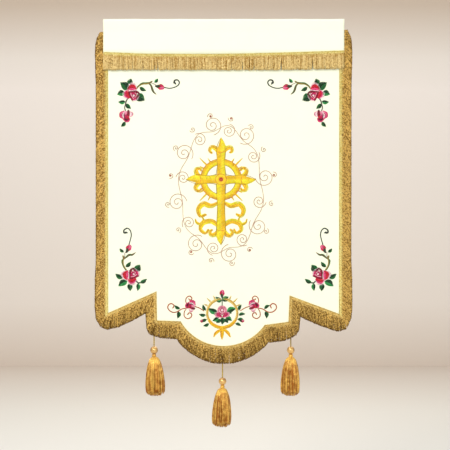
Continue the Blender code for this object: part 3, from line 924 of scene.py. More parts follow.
def rose(pile, x, z, turned=0.0):
    # A full rose seen from the side: two outer petals, a rolled heart and a pointed lower petal
    line = motifLine(x, z, turned)

    # Upper petal: pale under its fold, magenta at the foot, red in the middle, pale at the rim
    fan(pile, line((-18, 4), (-2, 5), (17, 6)), line((-21, 14), (-4, 12), (16, 14)),
        ((0, 1, "palePink", "white"),))
    fan(pile, line((-20, 12), (-4, 10), (15, 13)), line((-20, 15), (-15, 31), (0, 41), (12, 33), (17, 17)),
        ((0, 0.30, "magenta", "pink"), (0.30, 0.74, "red", "red"), (0.74, 1, "palePink", "white")), lift=0.1)
    # Left petal: red by the heart, pale at its outer rim
    fan(pile, line((-13, 13), (-14, 0), (-8, -17)), line((-18, 15), (-37, 2), (-34, -14), (-18, -23)),
        ((0, 0.50, "red", "red"), (0.50, 0.74, "magenta", "pink"), (0.74, 1, "palePink", "white")), lift=0.1)
    # Heart: a cup with a red lip, a dark shoulder on the right and rolled petals inside
    fan(pile, line((4, -24), (14, -18), (20, -8)), line((-2, -31), (18, -27), (28, -9)),
        ((0, 0.5, "magenta", "pink"), (0.5, 1, "palePink", "white")), lift=0.2)
    fan(pile, line(*circle(5, -9, 1.5, 9)),
        line((20, -8), (14, 2), (2, 3), (-10, 2), (-8, -12), (1, -26), (12, -20), (20, -8)),
        ((0, 0.3, "palePink", "pink"), (0.3, 0.62, "crimson", "magenta"), (0.62, 1, "magenta", "crimson")),
        lift=0.3)
    band(pile, line((-14, 5), (0, 5), (13, 6), (24, 1)), (3.5, 5, 8, 7), "maroon", "crimson", lift=0.55)
    band(pile, line((19, 4), (25, -4), (19, -16)), (5, 9, 4), "maroon", lift=0.6)
    band(pile, line((-13, 5), (-10, -9), (-5, -19), (1, -29)), (3, 4, 4.5, 3), "maroon", "crimson", lift=0.55)
    stemLine(pile, line((-6, 0), (-3, -10), (4, -20)), "white", width=2.0, lift=0.7)
    stemLine(pile, line((11, 0), (16, -6), (10, -16)), "white", width=1.8, lift=0.7)
    stemLine(pile, line(*arcLine(5, -9, 5.0, -60, 200, 9)), "maroon", width=2.2, lift=0.8)
    stemLine(pile, line(*arcLine(5, -9, 2.4, 120, 380, 9)), "white", width=1.8, lift=0.9)


def openRose(pile, x, z, turned=0.0, size=1.0, sign=1):
    # A half-open rose, as it hangs from its stem
    line = motifLine(x, z, turned, size, sign)
    fan(pile, line((-6, -10), (-9, 2), (-5, 15)), line((-12, -13), (-26, -5), (-25, 12), (-9, 19)),
        ((0, 0.35, "white", "palePink"), (0.35, 0.6, "palePink", "pink"), (0.6, 1, "pink", "magenta")),
        lift=0.1)
    fan(pile, line((9, -4), (11, 6), (9, 15)), line((15, -5), (24, 1), (24, 11), (12, 17)),
        ((0, 0.7, "palePink", "white"), (0.7, 1, "pink", "palePink")), lift=0.1)
    fan(pile, line((-10, -10), (0, -14), (9, -10)), line((-14, -14), (-3, -24), (9, -23), (14, -11)),
        ((0, 0.45, "magenta", "crimson"), (0.45, 1, "magenta", "pink")), lift=0.2)
    fan(pile, line((-6, -13), (-2, -14), (2, -13)), line((-8, 13), (-3, 18), (3, 18)),
        ((0, 0.5, "crimson", "magenta"), (0.5, 1, "pink", "palePink")), lift=0.35)
    fan(pile, line((2, -14), (6, -14), (9, -11)), line((3, 18), (6, 23), (10, 20), (13, 12)),
        ((0, 0.4, "crimson", "red"), (0.4, 1, "crimson", "maroon")), lift=0.4)
    band(pile, line((-9, -9), (-2, -16), (7, -13)), (4, 8, 4), "ink", "maroon", lift=0.6)
    band(pile, line((-8, -8), (-9, 2), (-6, 13)), (3, 4, 2), "ink", "maroon", lift=0.6)
    band(pile, line((-15, -8), (-18, 1), (-13, 10)), (1.5, 2.5, 1.5), "crimson", lift=0.5)
    stemLine(pile, line((-12, -9), (-13, 1), (-10, 10)), "white", width=1.6, lift=0.7)


def bud(pile, x, z, angle, size=1.0, sign=1):
    # A closed bud that points along the angle, in a dark calyx
    line = motifLine(x, z, angle, size, sign)
    fan(pile, line((-6, 4), (-6, 0), (-6, -4)), line((2, 9), (14, 3), (13, -5), (2, -9)),
        ((0, 0.45, "crimson", "red"), (0.45, 1, "magenta", "pink")), lift=0.1)
    fan(pile, line((-3, 5), (2, 3), (8, 2)), line((-1, 9), (6, 9), (13, 4)),
        ((0, 1, "red", "crimson"),), lift=0.4)
    stemLine(pile, line((1, -1), (8, -2), (12, 1)), "palePink", width=1.5, lift=0.7)
    fan(pile, line((-15, 1), (-15, 0), (-15, -1)), line((-4, 6), (3, 3), (0, -1), (-5, -4)),
        ((0, 1, "ink", "deepGreen"),), lift=0.5)


# The sprays in the upper and lower corners; places are millimetres from the middle of the large rose

upperSpray = {
    "places": ((-340.6, -275.8, False), (339.5, -275.8, True)),
    "leaves": (
        (-16, 13, -45, 40, 26), (-9, 33, -5, 54, 18), (-29, 1, -57, -5, 20), (13, -12, 46, -27, 28),
        (28, 22, 51, 9, 12), (-27, -32, -53, -33, 13), (-23, -40, -6, -58, 13), (-27, -108, -42, -125, 12),
        (83, 40, 95, 54, 10),
    ),
    "stem": ((15, 16), (24, 27), (38, 35), (55, 37), (66, 40), (73, 45)),
    "stemWidths": (4.5, 6, 9, 8, 3.5),
    "sepal": ((61, 37), (69, 28), (74, 15), (79, 5), (88, -4)),
    "twig": ((68, 40), (76, 36), (84, 32), (92, 27)),
    "bud": (102, 23, -10, 1.2),
    "tendril": (
        (116, 22), (137, 18), (155, 21), (170, 29), (175, 40), (168, 49), (158, 47), (156, 39), (162, 36)),
    "downStem": ((-17, -19), (-23, -30), (-26, -42), (-29, -55), (-25, -66)),
    "openRose": (-22, -84),
}

lowerSpray = {
    "places": ((-345.0, -955.0, False), (361.0, -955.0, True)),
    "leaves": (
        (14, 17, 33, 39, 22), (-32, -11, -59, 5, 15), (-16, -22, -48, -41, 21), (-9, -33, -4, -59, 17),
        (34, -28, 58, -14, 12), (25, -31, 24, -58, 13), (-20, 31, -2, 50, 12), (-29, 86, -43, 99, 10),
    ),
    "stem": ((-17, 18), (-24, 26), (-30, 38), (-32, 52), (-29, 64), (-32, 72)),
    "stemWidths": (5, 6, 6, 8, 10, 4),
    "sepal": ((-28, 60), (-19, 67), (-8, 75), (4, 77), (15, 84)),
    "twig": ((-29, 64), (-24, 73), (-24, 82), (-17, 90)),
    "bud": (-11, 98, 62, 1.15),
    "tendril": ((-9, 113), (-3, 134), (0, 150), (-4, 167), (-15, 175), (-27, 168), (-26, 158), (-16, 160)),
    "sideStem": ((15, -20), (26, -28), (34, -28)),
}


def makeSpray(name, table, x, z, mirror, turned, seed):
    pile = newPile(x, z, mirror, seed)
    for i, row in enumerate(table["leaves"]):
        leaf(pile, *row, light="freshGreen" if i % 3 == 2 else "green", bend=0.08 if i % 2 else -0.08)
    stem, sepal = smoothLine(table["stem"]), smoothLine(table["sepal"])
    band(pile, stem, table["stemWidths"], "green", "goldGreen", slant=1.2, split=True)
    stemLine(pile, stem, "copper", width=1.2, lift=0.5)
    band(pile, sepal, (4, 6, 8, 6, 1.5), "green", "deepGreen", slant=1.0, split=True)
    stemLine(pile, sepal, "copper", width=1.4, lift=0.5)
    stemLine(pile, smoothLine(table["twig"]), "mauve", width=2.4)
    band(pile, smoothLine(table["tendril"]), (3.2, 3.2, 3.6, 4.4, 8.0), "greyGreen", slant=0.8)
    bud(pile, *table["bud"])
    if "downStem" in table:
        band(pile, smoothLine(table["downStem"]), (5, 4, 3), "deepGreen", "mauve", slant=1.5)
        openRose(pile, *table["openRose"])
    if "sideStem" in table:
        band(pile, smoothLine(table["sideStem"]), (3, 5, 4), "ink", "deepGreen", slant=1.5)
    rose(pile, 0, 0, turned=turned)
    return buildPile(pile, name)


def makeSprays():
    made = []
    for word, table, turned in (("upper", upperSpray, 0), ("lower", lowerSpray, 84)):
        for side, (x, z, mirror) in zip(sides, table["places"]):
            made.append(makeSpray(f"embroidery_{word}_{side}", table, x, z, mirror, turned, len(made) + 5))
    return made


# The emblem: a plain cross with leafed ends, a ring and short rays, in two golds edged with red, and with
# dark gold outlines that are painted shadow

emblem = {
    "x": -10.0,
    "z": -640.0,
    "crossZ": 42.0,        # the crossing, above the middle
    "barHalf": 18.5,
    "armReach": 92.0,
    "topReach": 118.0,
    "footReach": 206.0,
    "ringRadius": 66.0,
    "ringWidth": 22.0,
    "rays": ((-13, 92), (0, 112), (13, 92)),   # degrees from the diagonal, reach
}


def bothSides(draw):
    for sign in (-1, 1):
        draw(sign)


def leafedEnd(pile, x, z, angle, size):
    # Three lobes round the end of an arm
    line = motifLine(x, z, angle, size)
    for sign in (-1, 1):
        curl = line((-16, sign * 9), (-2, sign * 22), (2, sign * 38), (-12, sign * 44), (-20, sign * 35))
        band(pile, curl, (16, 19, 17, 13, 8), "brightGold", "gold", split=True)
        stemLine(pile, curl, "outlineRed", width=1.6, lift=0.5)
    band(pile, line((-18, 0), (8, 0), (38, 0)), (26, 33, 26, 15, 2), "gold", "brightGold", slant=0.9,
         split=True, lift=0.3)
    for sign in (-1, 1):
        # The dark gold rims are painted shadow along the lobe's edges
        rim = line((-18, sign * 13), (0, sign * 16), (14, sign * 13), (26, sign * 8), (39, 0))
        stemLine(pile, rim, "shadowLineGold", width=1.5, lift=0.5)
    stemLine(pile, line((-15, -12), (-18, 0), (-15, 12)), "outlineRed", width=2.2, lift=0.9)


def makeEmblem():
    pile = newPile(emblem["x"], emblem["z"], seed=31)
    crossZ, half = emblem["crossZ"], emblem["barHalf"]
    crossing = np.array([0, crossZ])
    ringRadius, ringWidth = emblem["ringRadius"], emblem["ringWidth"]
    # Rays between the arms
    for angle in (45, 135, 225, 315):
        for off, reach in emblem["rays"]:
            way = wayAt(angle + off)
            start, end = way * (ringRadius + 6) + crossing, way * reach + crossing
            band(pile, [start, end], (7, 5, 1.5), "brightGold", "oldGold", split=True)
    # Ring behind the arms
    band(pile, circle(0, crossZ, ringRadius, 160), (ringWidth, ringWidth), "brightGold", "gold", split=True)
    # The ring's dark gold inner edge is painted shadow
    for offset, dye in ((-ringWidth / 2, "shadowLineGold"), (ringWidth / 2, "outlineRed")):
        stemLine(pile, circle(0, crossZ, ringRadius + offset, 160), dye, width=1.5, lift=0.4)
    # Bars, drawn in a little half way along
    for reach, angle in ((emblem["topReach"], 90), (emblem["armReach"], 0), (emblem["armReach"], 180),
                         (emblem["footReach"], 270)):
        way = wayAt(angle)
        end = crossing + way * reach
        band(pile, [crossing, end], (2 * half, 1.5 * half, 2 * half), "gold", "brightGold", slant=0.6,
             split=True, lift=0.5)
        # The dark gold lines along the bars are painted shadow
        for sign in (-1, 1):
            aside = acrossOf(way) * sign * half
            middle = (crossing + end) / 2 + aside * 0.76
            rim = smoothLine([crossing + aside + way * half, middle, end + aside])
            stemLine(pile, rim, "shadowLineGold", width=1.6, lift=0.8)
        leafedEnd(pile, *end, angle, 0.95)
    # Rosette over the crossing
    disc = circle(0, crossZ, 20, 60)
    fan(pile, circle(0, crossZ, 7, 60), disc, ((0, 1, "oldGold", "brightGold"),), lift=0.9)
    stemLine(pile, disc, "outlineRed", width=1.7, lift=1.2)
    fan(pile, circle(0, crossZ, 1), circle(0, crossZ, 8), ((0, 1, "outlineRed", "crimson"),), lift=1.2)

    # Scrolls down the shaft
    def footScroll(sign):
        for widths, points in (
            ((12, 19, 20, 17, 12, 8),
             ((6, -176), (36, -156), (66, -163), (76, -186), (58, -200), (47, -186))),
            ((8, 18, 22, 20, 15, 9),
             ((8, -84), (36, -98), (66, -92), (84, -112), (76, -136), (56, -130))),
            ((4, 9, 12, 9, 4), ((70, -140), (66, -152), (78, -166), (92, -160), (96, -148))),
        ):
            line = smoothLine([(sign * x, crossZ + z) for x, z in points])
            band(pile, line, widths, "brightGold", "gold", split=True)
            # The small scroll's dark gold outline is painted shadow
            stemLine(pile, line, "outlineRed" if len(widths) > 5 else "shadowLineGold", width=1.5, lift=0.5)

    bothSides(footScroll)
    return buildPile(pile, "embroidery_emblem")


wreath = {
    "x": -10.0,
    "z": -636.0,
    "halfWidth": 154.0,
    "halfHeight": 232.0,
    "scrolls": 16,
    "scrollRadius": 36.0,
    "turns": 1.9,
    "width": 2.2,
}


def spiral(x, z, radius, turns, start, hand, count=64):
    share = np.linspace(0, 1, count)
    angle = math.radians(start) + hand * 2 * np.pi * turns * share
    r = radius * (1 - 0.90 * share**0.9)
    return np.stack([x + r * np.cos(angle), z + r * np.sin(angle)], axis=1)


def makeWreath():
    # Large scrolls lean out and small ones in by turns, each with a little one beyond it
    pile = newPile(wreath["x"], wreath["z"], seed=47)
    w, h = wreath["halfWidth"], wreath["halfHeight"]
    for i in range(wreath["scrolls"]):
        turn = 2 * np.pi * (i + 0.5) / wreath["scrolls"]
        base = np.array([w * math.sin(turn), h * math.cos(turn)])
        out = math.degrees(math.atan2(math.cos(turn), math.sin(turn)))
        hand = 1 if i % 2 else -1
        large = wreath["scrollRadius"] * (1.0 if i % 2 else 0.72)
        middle, beyond = base + wayAt(out) * 0.35 * large * hand, base + wayAt(out) * (large + 12)
        for curl in (spiral(*middle, large, wreath["turns"], out + 180 * (i % 2), hand),
                     spiral(*beyond, 11, 1.3, out + 90, -hand, 30)):
            stemLine(pile, curl, "roseCopper", "paleCopper", width=wreath["width"])
        if i % 3 == 0:
            fan(pile, circle(*beyond, 0.6), circle(*beyond, 3.2), ((0, 1, "roseCopper", "rose"),))
    # A waving line ties the scrolls together
    turn = np.linspace(0, 2 * np.pi, 400)
    swing = 1 + 0.045 * np.sin(wreath["scrolls"] / 2 * turn)
    waving = np.stack([w * swing * np.sin(turn), h * swing * np.cos(turn)], axis=1)
    stemLine(pile, waving, "paleCopper", width=2.1)
    return buildPile(pile, "embroidery_wreath")


# The spray over the tongue: a plain gilt ring round one rose, with a smaller rose at each side

footSpray = {
    "x": -5.8,
    "z": -1083.0,
    "roseReach": 117.0,
    "roseZ": 13.0,
    "ringZ": -14.0,
    "ringRadius": 56.0,
    "ringSquash": 0.95,
    "ringPoints": 80,
    "richPoints": 28,      # points from the ring's foot to where its richer gold ends
    "rays": ((116, 14), (134, 20), (152, 14)),   # degrees round the ring, length
}


def makeFootSpray():
    pile = newPile(footSpray["x"], footSpray["z"], seed=71)
    reach, rz = footSpray["roseReach"], footSpray["roseZ"]

    def flank(sign):
        def line(*points):
            return smoothLine([(sign * x, z) for x, z in points])

        # Copper tendrils: one along the branch, one curled up and one curled down
        for widths, points in (
            ((3, 3.6, 3.6, 4), (
                (-reach - 4, rz - 6), (-150, rz - 11), (-170, rz - 22), (-188, rz - 22), (-202, rz - 9),
                (-200, rz + 4), (-189, rz + 9), (-180, rz + 2), (-184, rz - 8))),
            ((2.6, 3.2, 4), (
                (-reach - 14, rz + 6), (-136, rz + 19), (-132, rz + 32), (-121, rz + 37), (-113, rz + 29),
                (-119, rz + 22), (-125, rz + 27))),
            ((2.6, 3.2, 4), (
                (-reach - 18, rz - 12), (-141, rz - 22), (-141, rz - 38), (-129, rz - 47), (-116, rz - 41),
                (-114, rz - 30), (-123, rz - 25), (-129, rz - 32))),
            ((3, 3), ((-reach + 16, rz - 2), (-86, rz - 7), (-68, rz - 18))),
        ):
            band(pile, line(*points), widths, "rose", "copper", slant=0.9)
        for bx, bz, tx, tz, w in ((-158, rz - 10, -178, rz + 3, 10), (-162, rz - 20, -166, rz - 46, 13),
                                  (-62, rz - 16, -72, rz + 5, 10), (-62, rz - 34, -86, rz - 30, 10),
                                  (-58, rz - 50, -82, rz - 54, 10), (-50, rz - 66, -70, rz - 74, 10)):
            leaf(pile, sign * bx, bz, sign * tx, tz, w)
        bud(pile, sign * -74, rz - 56, 180, 0.6, sign)
        openRose(pile, -sign * reach, rz, -105, 0.86, sign)
        # Half of the ring, richer at its foot and paler up its side, with three short rays over its shoulder
        ringZ, squash, rich = footSpray["ringZ"], footSpray["ringSquash"], footSpray["richPoints"]
        ring = arcLine(0, ringZ, footSpray["ringRadius"], -90, -264, footSpray["ringPoints"], squash)
        ring = ring * (sign, 1)
        band(pile, ring[:rich + 2], (11, 13, 12, 10), "gold", "oldGold", slant=0.8, split=True)
        band(pile, ring[rich:], (10, 9, 9, 9, 10, 11, 9), "paleGold", "straw", slant=0.8, split=True)
        stemLine(pile, ring, "oldGold", width=1.4, lift=0.5)
        for degrees, rayLength in footSpray["rays"]:
            way = wayAt(degrees) * (1, squash)
            start = way * (footSpray["ringRadius"] + 6) + (0, ringZ)
            ray = np.array([start, start + way * rayLength]) * (sign, 1)
            band(pile, ray, (7, 4, 1), "paleGold", "straw", slant=0.8, split=True)
        # One of the two gold leaves beside the middle leaf under the ring
        band(pile, line((-2, -74), (-13, -80), (-24, -90), (-31, -103)), (5, 12, 11, 2), "gold", "oldGold",
             slant=0.8, split=True)
        # Leaves round the middle rose
        for bx, bz, tx, tz, w, light in (
            (-18, -10, -52, 4, 18, "freshGreen"), (-14, -12, -36, -14, 11, "green"),
            (-14, -30, -36, -42, 14, "freshGreen"), (-8, -36, -22, -50, 12, "green"),
            (-3, 34, -24, 47, 13, "freshGreen"), (-3, 33, -22, 32, 9, "green"),
        ):
            leaf(pile, sign * bx, bz, sign * tx, tz, w, light=light)
        # The middle rose's lower petals
        fan(pile, line((-1, -12), (-5, -17), (-1, -26)), line((-8, -6), (-28, -12), (-24, -27), (-3, -31)),
            ((0, 0.65, "crimson", "magenta"), (0.65, 1, "pink", "palePink")), lift=0.2)

    bothSides(flank)
    leaf(pile, 0, -30, 0, -56, 15)
    band(pile, smoothLine([(0, -66), (0, -88), (0, -112)]), (8, 15, 13, 2), "gold", "oldGold", slant=0.6,
         split=True, lift=0.3)
    # The middle rose's rolled heart
    for inner, outer, first, second, lift in (
        (11, 18, "magenta", "palePink", 0.4), (8.5, 12, "white", "palePink", 0.5),
        (5, 8.5, "crimson", "pink", 0.55), (0.8, 5, "palePink", "white", 0.6),
    ):
        fan(pile, circle(0, -3, inner), circle(0, -3, outer), ((0, 1, first, second),), lift=lift)
    band(pile, arcLine(0, -3, 14.5, 190, 350), (1, 3, 1), "maroon", lift=0.7)
    band(pile, arcLine(0, -3, 10, 20, 170), (1, 2, 1), "crimson", lift=0.7)
    # Bud on a stem inside and over the ring
    band(pile, [(0, 14), (0, 30), (0, 44)], (2.6, 2.6), "deepGreen", slant=1.2)
    bud(pile, 0, 58, 90, 1.05)
    return buildPile(pile, "embroidery_foot")


# Fringe: twisted bullion strands that leave the cloth's edge outwards and fall, under a gimp braid

fringe = {
    "pitch": 2.5 * mm,
    "strandRadius": 1.5 * mm,
    "rings": 13,
    "headShares": (-0.24, -0.12),           # the looped heads, before the strand leaves the braid
    "layerDepths": (-0.5 * mm, 0.9 * mm),   # front strands, and those behind them
    "overBraid": 9 * mm,        # the strands' looped heads hide this much of the braid
    "crimp": 0.9 * mm,
    "crimpLength": 8 * mm,
    "lengthSpread": 0.014,
    "topLengthSpread": 0.024,
    # Painted light: the right side's strands are painted paler, as the key lamp on the left lights them less
    "paler": {"fringe_side_right": 0.15},   # added to the tone of a length's strands
    "drift": 1.7 * mm,
    "partings": (-256, -247, -99, 70, 112, 214, 331),   # where the top fringe lets the cloth show, in mm
    "partingPush": 3.2 * mm,
    "partingReach": 5 * mm,
    # Runs down each half: where a strand's tip lies, as (share of the run, out, down) in mm
    "tips": {
        "side": (
            (0, 13.0, 0.5), (0.014, 25.0, 1.5), (0.025, 31.0, 11.5), (0.05, 33.0, 26.0), (0.1, 31.5, 39.0),
            (0.14, 29.5, 40.0), (0.76, 29.5, 40.0), (0.82, 33.0, 40.0), (0.92, 34.0, 41.0),
            (0.97, 29.5, 32.0), (0.985, 22.5, 26.5), (1, 12.0, 25.5)),
        "ear": ((0, 12.0, 25.5), (0.05, 9.0, 40.0), (0.1, 5.0, 46.5), (0.3, -0.9, 53.0), (0.6, 7.1, 56.0),
                (0.85, 16.8, 56.5), (1, 25.3, 57.0)),
        "notch": ((0, 25.3, 57.0), (0.5, 24.0, 44.5), (0.8, 23.1, 37.5), (1, 12.3, 35.5)),
        "step": ((0, 12.3, 35.5), (0.2, 5.2, 47.0), (0.5, 2.2, 50.0), (1, 3.4, 51.0)),
        "tongue": ((0, 3.4, 51.0), (0.2, 16.0, 40.0), (0.5, 11.2, 45.5), (0.8, 2.8, 52.0), (1, 0.0, 50.8)),
    },
    # How much further down some feet reach, as (share of the run, mm)
    "further": {"side_right": ((0.98, 0), (1, 4.5)), "ear_right": ((0, 4.5), (0.2, 4.0), (0.35, 0)),
                "step_right": ((0, 0), (0.3, 3.0), (0.8, 2.0), (1, 0))},
    # Across the heading: (x, top of the braid, drop of the strands below it) in mm
    "topLine": ((-448.5, -123.0, 51.2), (-296, -129.5, 44.7), (-50, -130.5, 44.2), (100, -128.2, 46.2),
                (285, -123.0, 49.7), (448.5, -117.2, 52.2)),
    # At the seams the strands' lower halves are painted dark, as painted shade in the gap
    "seams": {"ear_left": -420, "ear_right": 432, "step_left": -256, "step_right": 199, "tongue_left": -3,
              "tongue_right": 70},   # where two lengths of fringe meet, in mm
    "rounding": 10 * mm,
}

braid = {
    "zigzagPitch": 3.6 * mm,
    "zigzagRadius": 1.05 * mm,
    "edgeRadius": 1.0 * mm,
    "baseThick": 0.9 * mm,
    "baseBack": 1.6 * mm,
    "baseInset": 0.4 * mm,
}


def strands(place, along, length, tips, spread, frontY, chance, paler=0.0, seam=None, partings=(), top=False):
    # place(share, outside) gives points (x, z) of the run, and along(share) the way it runs
    rings = fringe["rings"]
    share = np.concatenate([fringe["headShares"], np.linspace(0, 1, rings - len(fringe["headShares"]))])
    parts, tones = [], []
    for layer in (0, 1):
        count = max(4, int(length / fringe["pitch"]))
        s = (np.arange(count) + 0.25 + 0.5 * layer + chance.uniform(-0.22, 0.22, count)) / count
        s = np.clip(s, 0.001, 0.999)
        root, way = place(s, edge["braidWidth"]), along(s)
        heads = [place(s, edge["braidWidth"] - fringe["overBraid"] * part) for part in (1.0, 0.5)]
        out, down = tips(s)
        longer = 1 + chance.normal(0, spread, count) * 0.7 + smoothNoise(chance, count, 5) * spread * 0.6
        longer = np.clip(longer, 1 - 2.2 * spread, 1 + 1.6 * spread)
        a = share[None, :] * longer[:, None]
        fall = np.clip(a, 0, None)
        x = root[:, None, 0] + out[:, None] * fall**0.8
        z = root[:, None, 1] - down[:, None] * fall**1.3
        drift = fringe["drift"] * (smoothNoise(chance, count, 3) * 0.55 + chance.normal(0, 0.35, count))
        for middle in partings:
            gap = root[:, 0] - middle * mm
            push = np.exp(-np.abs(gap) / fringe["partingReach"]) * fringe["partingPush"]
            drift = drift + np.sign(gap) * push
        reach = np.hypot(out, down)[:, None]
        curl = 2 * np.pi * a * reach / fringe["crimpLength"] + chance.uniform(0, 6.3, count)[:, None]
        size = fringe["crimp"] * chance.uniform(0.4, 1.4, count)[:, None]
        sway = drift[:, None] * fall**1.5 + size * np.sin(curl)
        x, z = x + way[:, None, 0] * sway, z + way[:, None, 1] * sway
        for i, head in enumerate(heads):
            x[:, i], z[:, i] = head[:, 0], head[:, 1]
        bulge = 1.7 * mm * np.sin(np.pi * np.clip(fall, 0, 1)) ** 0.7
        depth = fringe["layerDepths"][layer] + chance.normal(0, 0.35 * mm, count)
        y = frontY + 0.4 * mm + hangWave(x, z) - bulge * (0.6 if top else 0.4) + size * 0.6 * np.cos(curl)
        y = y + depth[:, None] * np.clip(share * 3, 0.2, 1)
        if top:
            y = y - 0.9 * mm * np.clip(share, 0, 1)
        y[:, 0] = frontY + 0.9 * mm + hangWave(x[:, 0], z[:, 0])
        swell = np.interp(share, (*fringe["headShares"], 0.15, 0.9, 1), (0.6, 0.85, 1.0, 1.0, 0.7))
        thick = fringe["strandRadius"] * swell
        parts.append(tubeArrays(np.stack([x, y, z], axis=-1), thick[None, :], 4, turned=-np.pi / 2))
        # Each strand has its own tone; the back layer is painted darker as painted shade, and paler is
        # painted light for a length the key lamp lights less
        tone = 0.52 + paler + chance.normal(0, 0.30 if top else 0.22, count) - 0.18 * layer
        # Feet lie in the shade of the strands over them, but the top fringe's feet catch the light
        shade = ((0, 0.2, 0.8, 1), (-0.25, 0.05, 0.2, 0.5)) if top else ((0.7, 0.95, 1), (0, -0.25, -0.8))
        tone = tone[:, None] + np.interp(share, *shade)
        # At a seam the strands' lower halves are painted dark, as painted shade in the gap where two lengths
        # meet
        if seam is not None:
            seamShade = np.exp(-(((root[:, 0] - seam * mm) / (1.5 * mm)) ** 2))
            tone = tone - 2.2 * seamShade[:, None] * np.interp(share, (0.3, 0.6), (0, 1))
        tones.append(np.repeat(tone.ravel(), 4))
    return parts, tones


def braidParts(place, length, frontY):
    # A base strip, a cord in zigzags over it and a cord along each edge
    width = edge["braidWidth"]

    def points(share, outside, y):
        flat = place(share, outside)
        return np.stack([flat[:, 0], y + frontY + hangWave(flat[:, 0], flat[:, 1]), flat[:, 1]], axis=1)

    count = max(3, int(length / (9 * mm)))
    share = np.linspace(0, 1, count)
    inset, low, high = braid["baseInset"], braid["baseBack"] - braid["baseThick"], braid["baseBack"]
    section = ((inset, low), (width / 2, low - 0.2 * mm), (width - inset, low), (width - inset, high),
               (inset, high))
    base = np.stack([points(share, np.full(count, t), y) for t, y in section], axis=1)
    parts, tones = [gridArrays(base)], [np.full(count * len(section), 0.3)]
    periods = max(2, int(round(length / braid["zigzagPitch"])))
    steps = periods * 6 + 1
    share = np.linspace(0.001, 0.999, steps)
    turn = 2 * np.pi * periods * share
    reach = width / 2 - 1.7 * mm
    line = points(share, width / 2 + reach * np.sin(turn), low - 0.35 * mm * (1 + np.cos(turn)))
    parts.append(tubeArrays(line[None], braid["zigzagRadius"], 4, turned=-np.pi / 2))
    tones.append(np.full(steps * 4, 0.62))
    for outside in (braid["edgeRadius"], width - braid["edgeRadius"]):
        steps = max(3, int(length / (6 * mm)))
        line = points(np.linspace(0.0005, 0.9995, steps), np.full(steps, outside), low - 0.3 * mm)
        parts.append(tubeArrays(line[None], braid["edgeRadius"], 6))
        tones.append(np.full(steps * 6, 0.85))
    return parts, tones


def makeRun(name, place, length, tips, spread, frontY, gold, gimp, seam=None, partings=(), top=False):
    chance = np.random.default_rng(sum(ord(letter) for letter in name))

    def along(share):
        ahead = place(np.clip(share + 0.002, 0, 1), edge["braidWidth"])
        behind = place(np.clip(share - 0.002, 0, 1), edge["braidWidth"])
        return unit(ahead - behind)

    hangingParts, hangingTones = strands(place, along, length, tips, spread, frontY, chance,
                                         fringe["paler"].get(name, 0.0), seam, partings, top)
    flatParts, flatTones = braidParts(place, length, frontY)
    faces = [sum(len(f) for f in part[1]) for part in hangingParts + flatParts]
    kinds = [0] * len(hangingParts) + [1] * len(flatParts)
    return addPiece(name, joinArrays(hangingParts + flatParts), [gold, gimp], [name],
                    tone=np.concatenate(hangingTones + flatTones), faceMaterial=np.repeat(kinds, faces))


def makeEdgeFringe():
    made = []
    for side in sides:
        half = halves[side]
        for run, (word, rows) in enumerate(fringe["tips"].items()):
            table = np.array(rows)

            def place(share, outside, run=run, half=half):
                # A run's points, where outside is one number or one for each point
                if np.ndim(outside) == 0:
                    return edgePoint(half, run, share, outside)
                near, far = edgePoint(half, run, share, 0.0), edgePoint(half, run, share, edge["braidWidth"])
                return near + (far - near) * (np.asarray(outside) / edge["braidWidth"])[:, None]

            length = lineLength(place(np.linspace(0, 1, 40), edge["braidWidth"]))
            further = np.array(fringe["further"].get(f"{word}_{side}", ((0, 0), (1, 0))))

            def tips(share, table=table, half=half, length=length, further=further):
                # Averaged over a short way, so that the cut foot is round at its corners
                near = share[:, None] + np.linspace(-1, 1, 7) * fringe["rounding"] / length
                out, down = [np.interp(near, table[:, 0], table[:, i]).mean(axis=1) * mm for i in (1, 2)]
                return out * half["sign"], down + np.interp(share, further[:, 0], further[:, 1]) * mm

            gold, gimp = (goldBullion, paleGimp) if word == "side" else (deepBullion, goldGimp)
            made.append(makeRun(f"fringe_{word}_{side}", place, length, tips, fringe["lengthSpread"],
                                layers["braidFront"], gold, gimp, fringe["seams"].get(f"{word}_{side}")))
    return made


def makeTopFringe():
    table = np.array(fringe["topLine"]) * mm
    low, high = table[0, 0], table[-1, 0]

    def place(share, outside):
        x = low + (high - low) * np.asarray(share)
        return np.stack([x, np.interp(x, table[:, 0], table[:, 1]) - outside], axis=-1)

    def tips(share):
        x = low + (high - low) * share
        return np.zeros_like(x), np.interp(x, table[:, 0], table[:, 2])

    return makeRun("fringe_top", place, high - low, tips, fringe["topLengthSpread"], layers["topBraidFront"],
                   topBullion, paleGimp, None, fringe["partings"], True)


edgeFringe = makeEdgeFringe()
topFringe = makeTopFringe()
print("fringe hung")

sprays = makeSprays()
print("corner sprays stitched")
emblemPieces = [makeEmblem(), makeWreath(), makeFootSpray()]
print("emblem, wreath and foot spray stitched")


# Machine stitching: along the hem on the back, and across the heading under the sleeve

stitching = {
    "pitch": 4.2 * mm,
    "share": 0.72,         # how much of the pitch a stitch fills
    "radius": 0.28 * mm,
    "fromEdge": 19 * mm,
    "sleeveRows": (-41.5 * mm, -44.5 * mm),
    "sleeveMargin": 4 * mm,
}


def stitchRow(line, y, behind):
    # y(x, z) is the face that the stitches lie on, seen from behind or from the front
    points, tangent, _ = evenly(line, max(4, int(lineLength(line) / stitching["pitch"])))
    half = stitching["pitch"] * stitching["share"] / 2
    share = np.array([-1.0, -0.7, 0.7, 1.0])
    flat = points[:, None, :] + tangent[:, None, :] * half * share[None, :, None]
    sunk = np.where(np.abs(share) > 0.9, -0.3 * mm, 0.15 * mm)
    depth = y(flat[..., 0], flat[..., 1]) + (sunk if behind else -sunk)
    path = np.stack([flat[..., 0], depth, flat[..., 1]], axis=-1)
    return tubeArrays(path, stitching["radius"], 4, pointed=True)


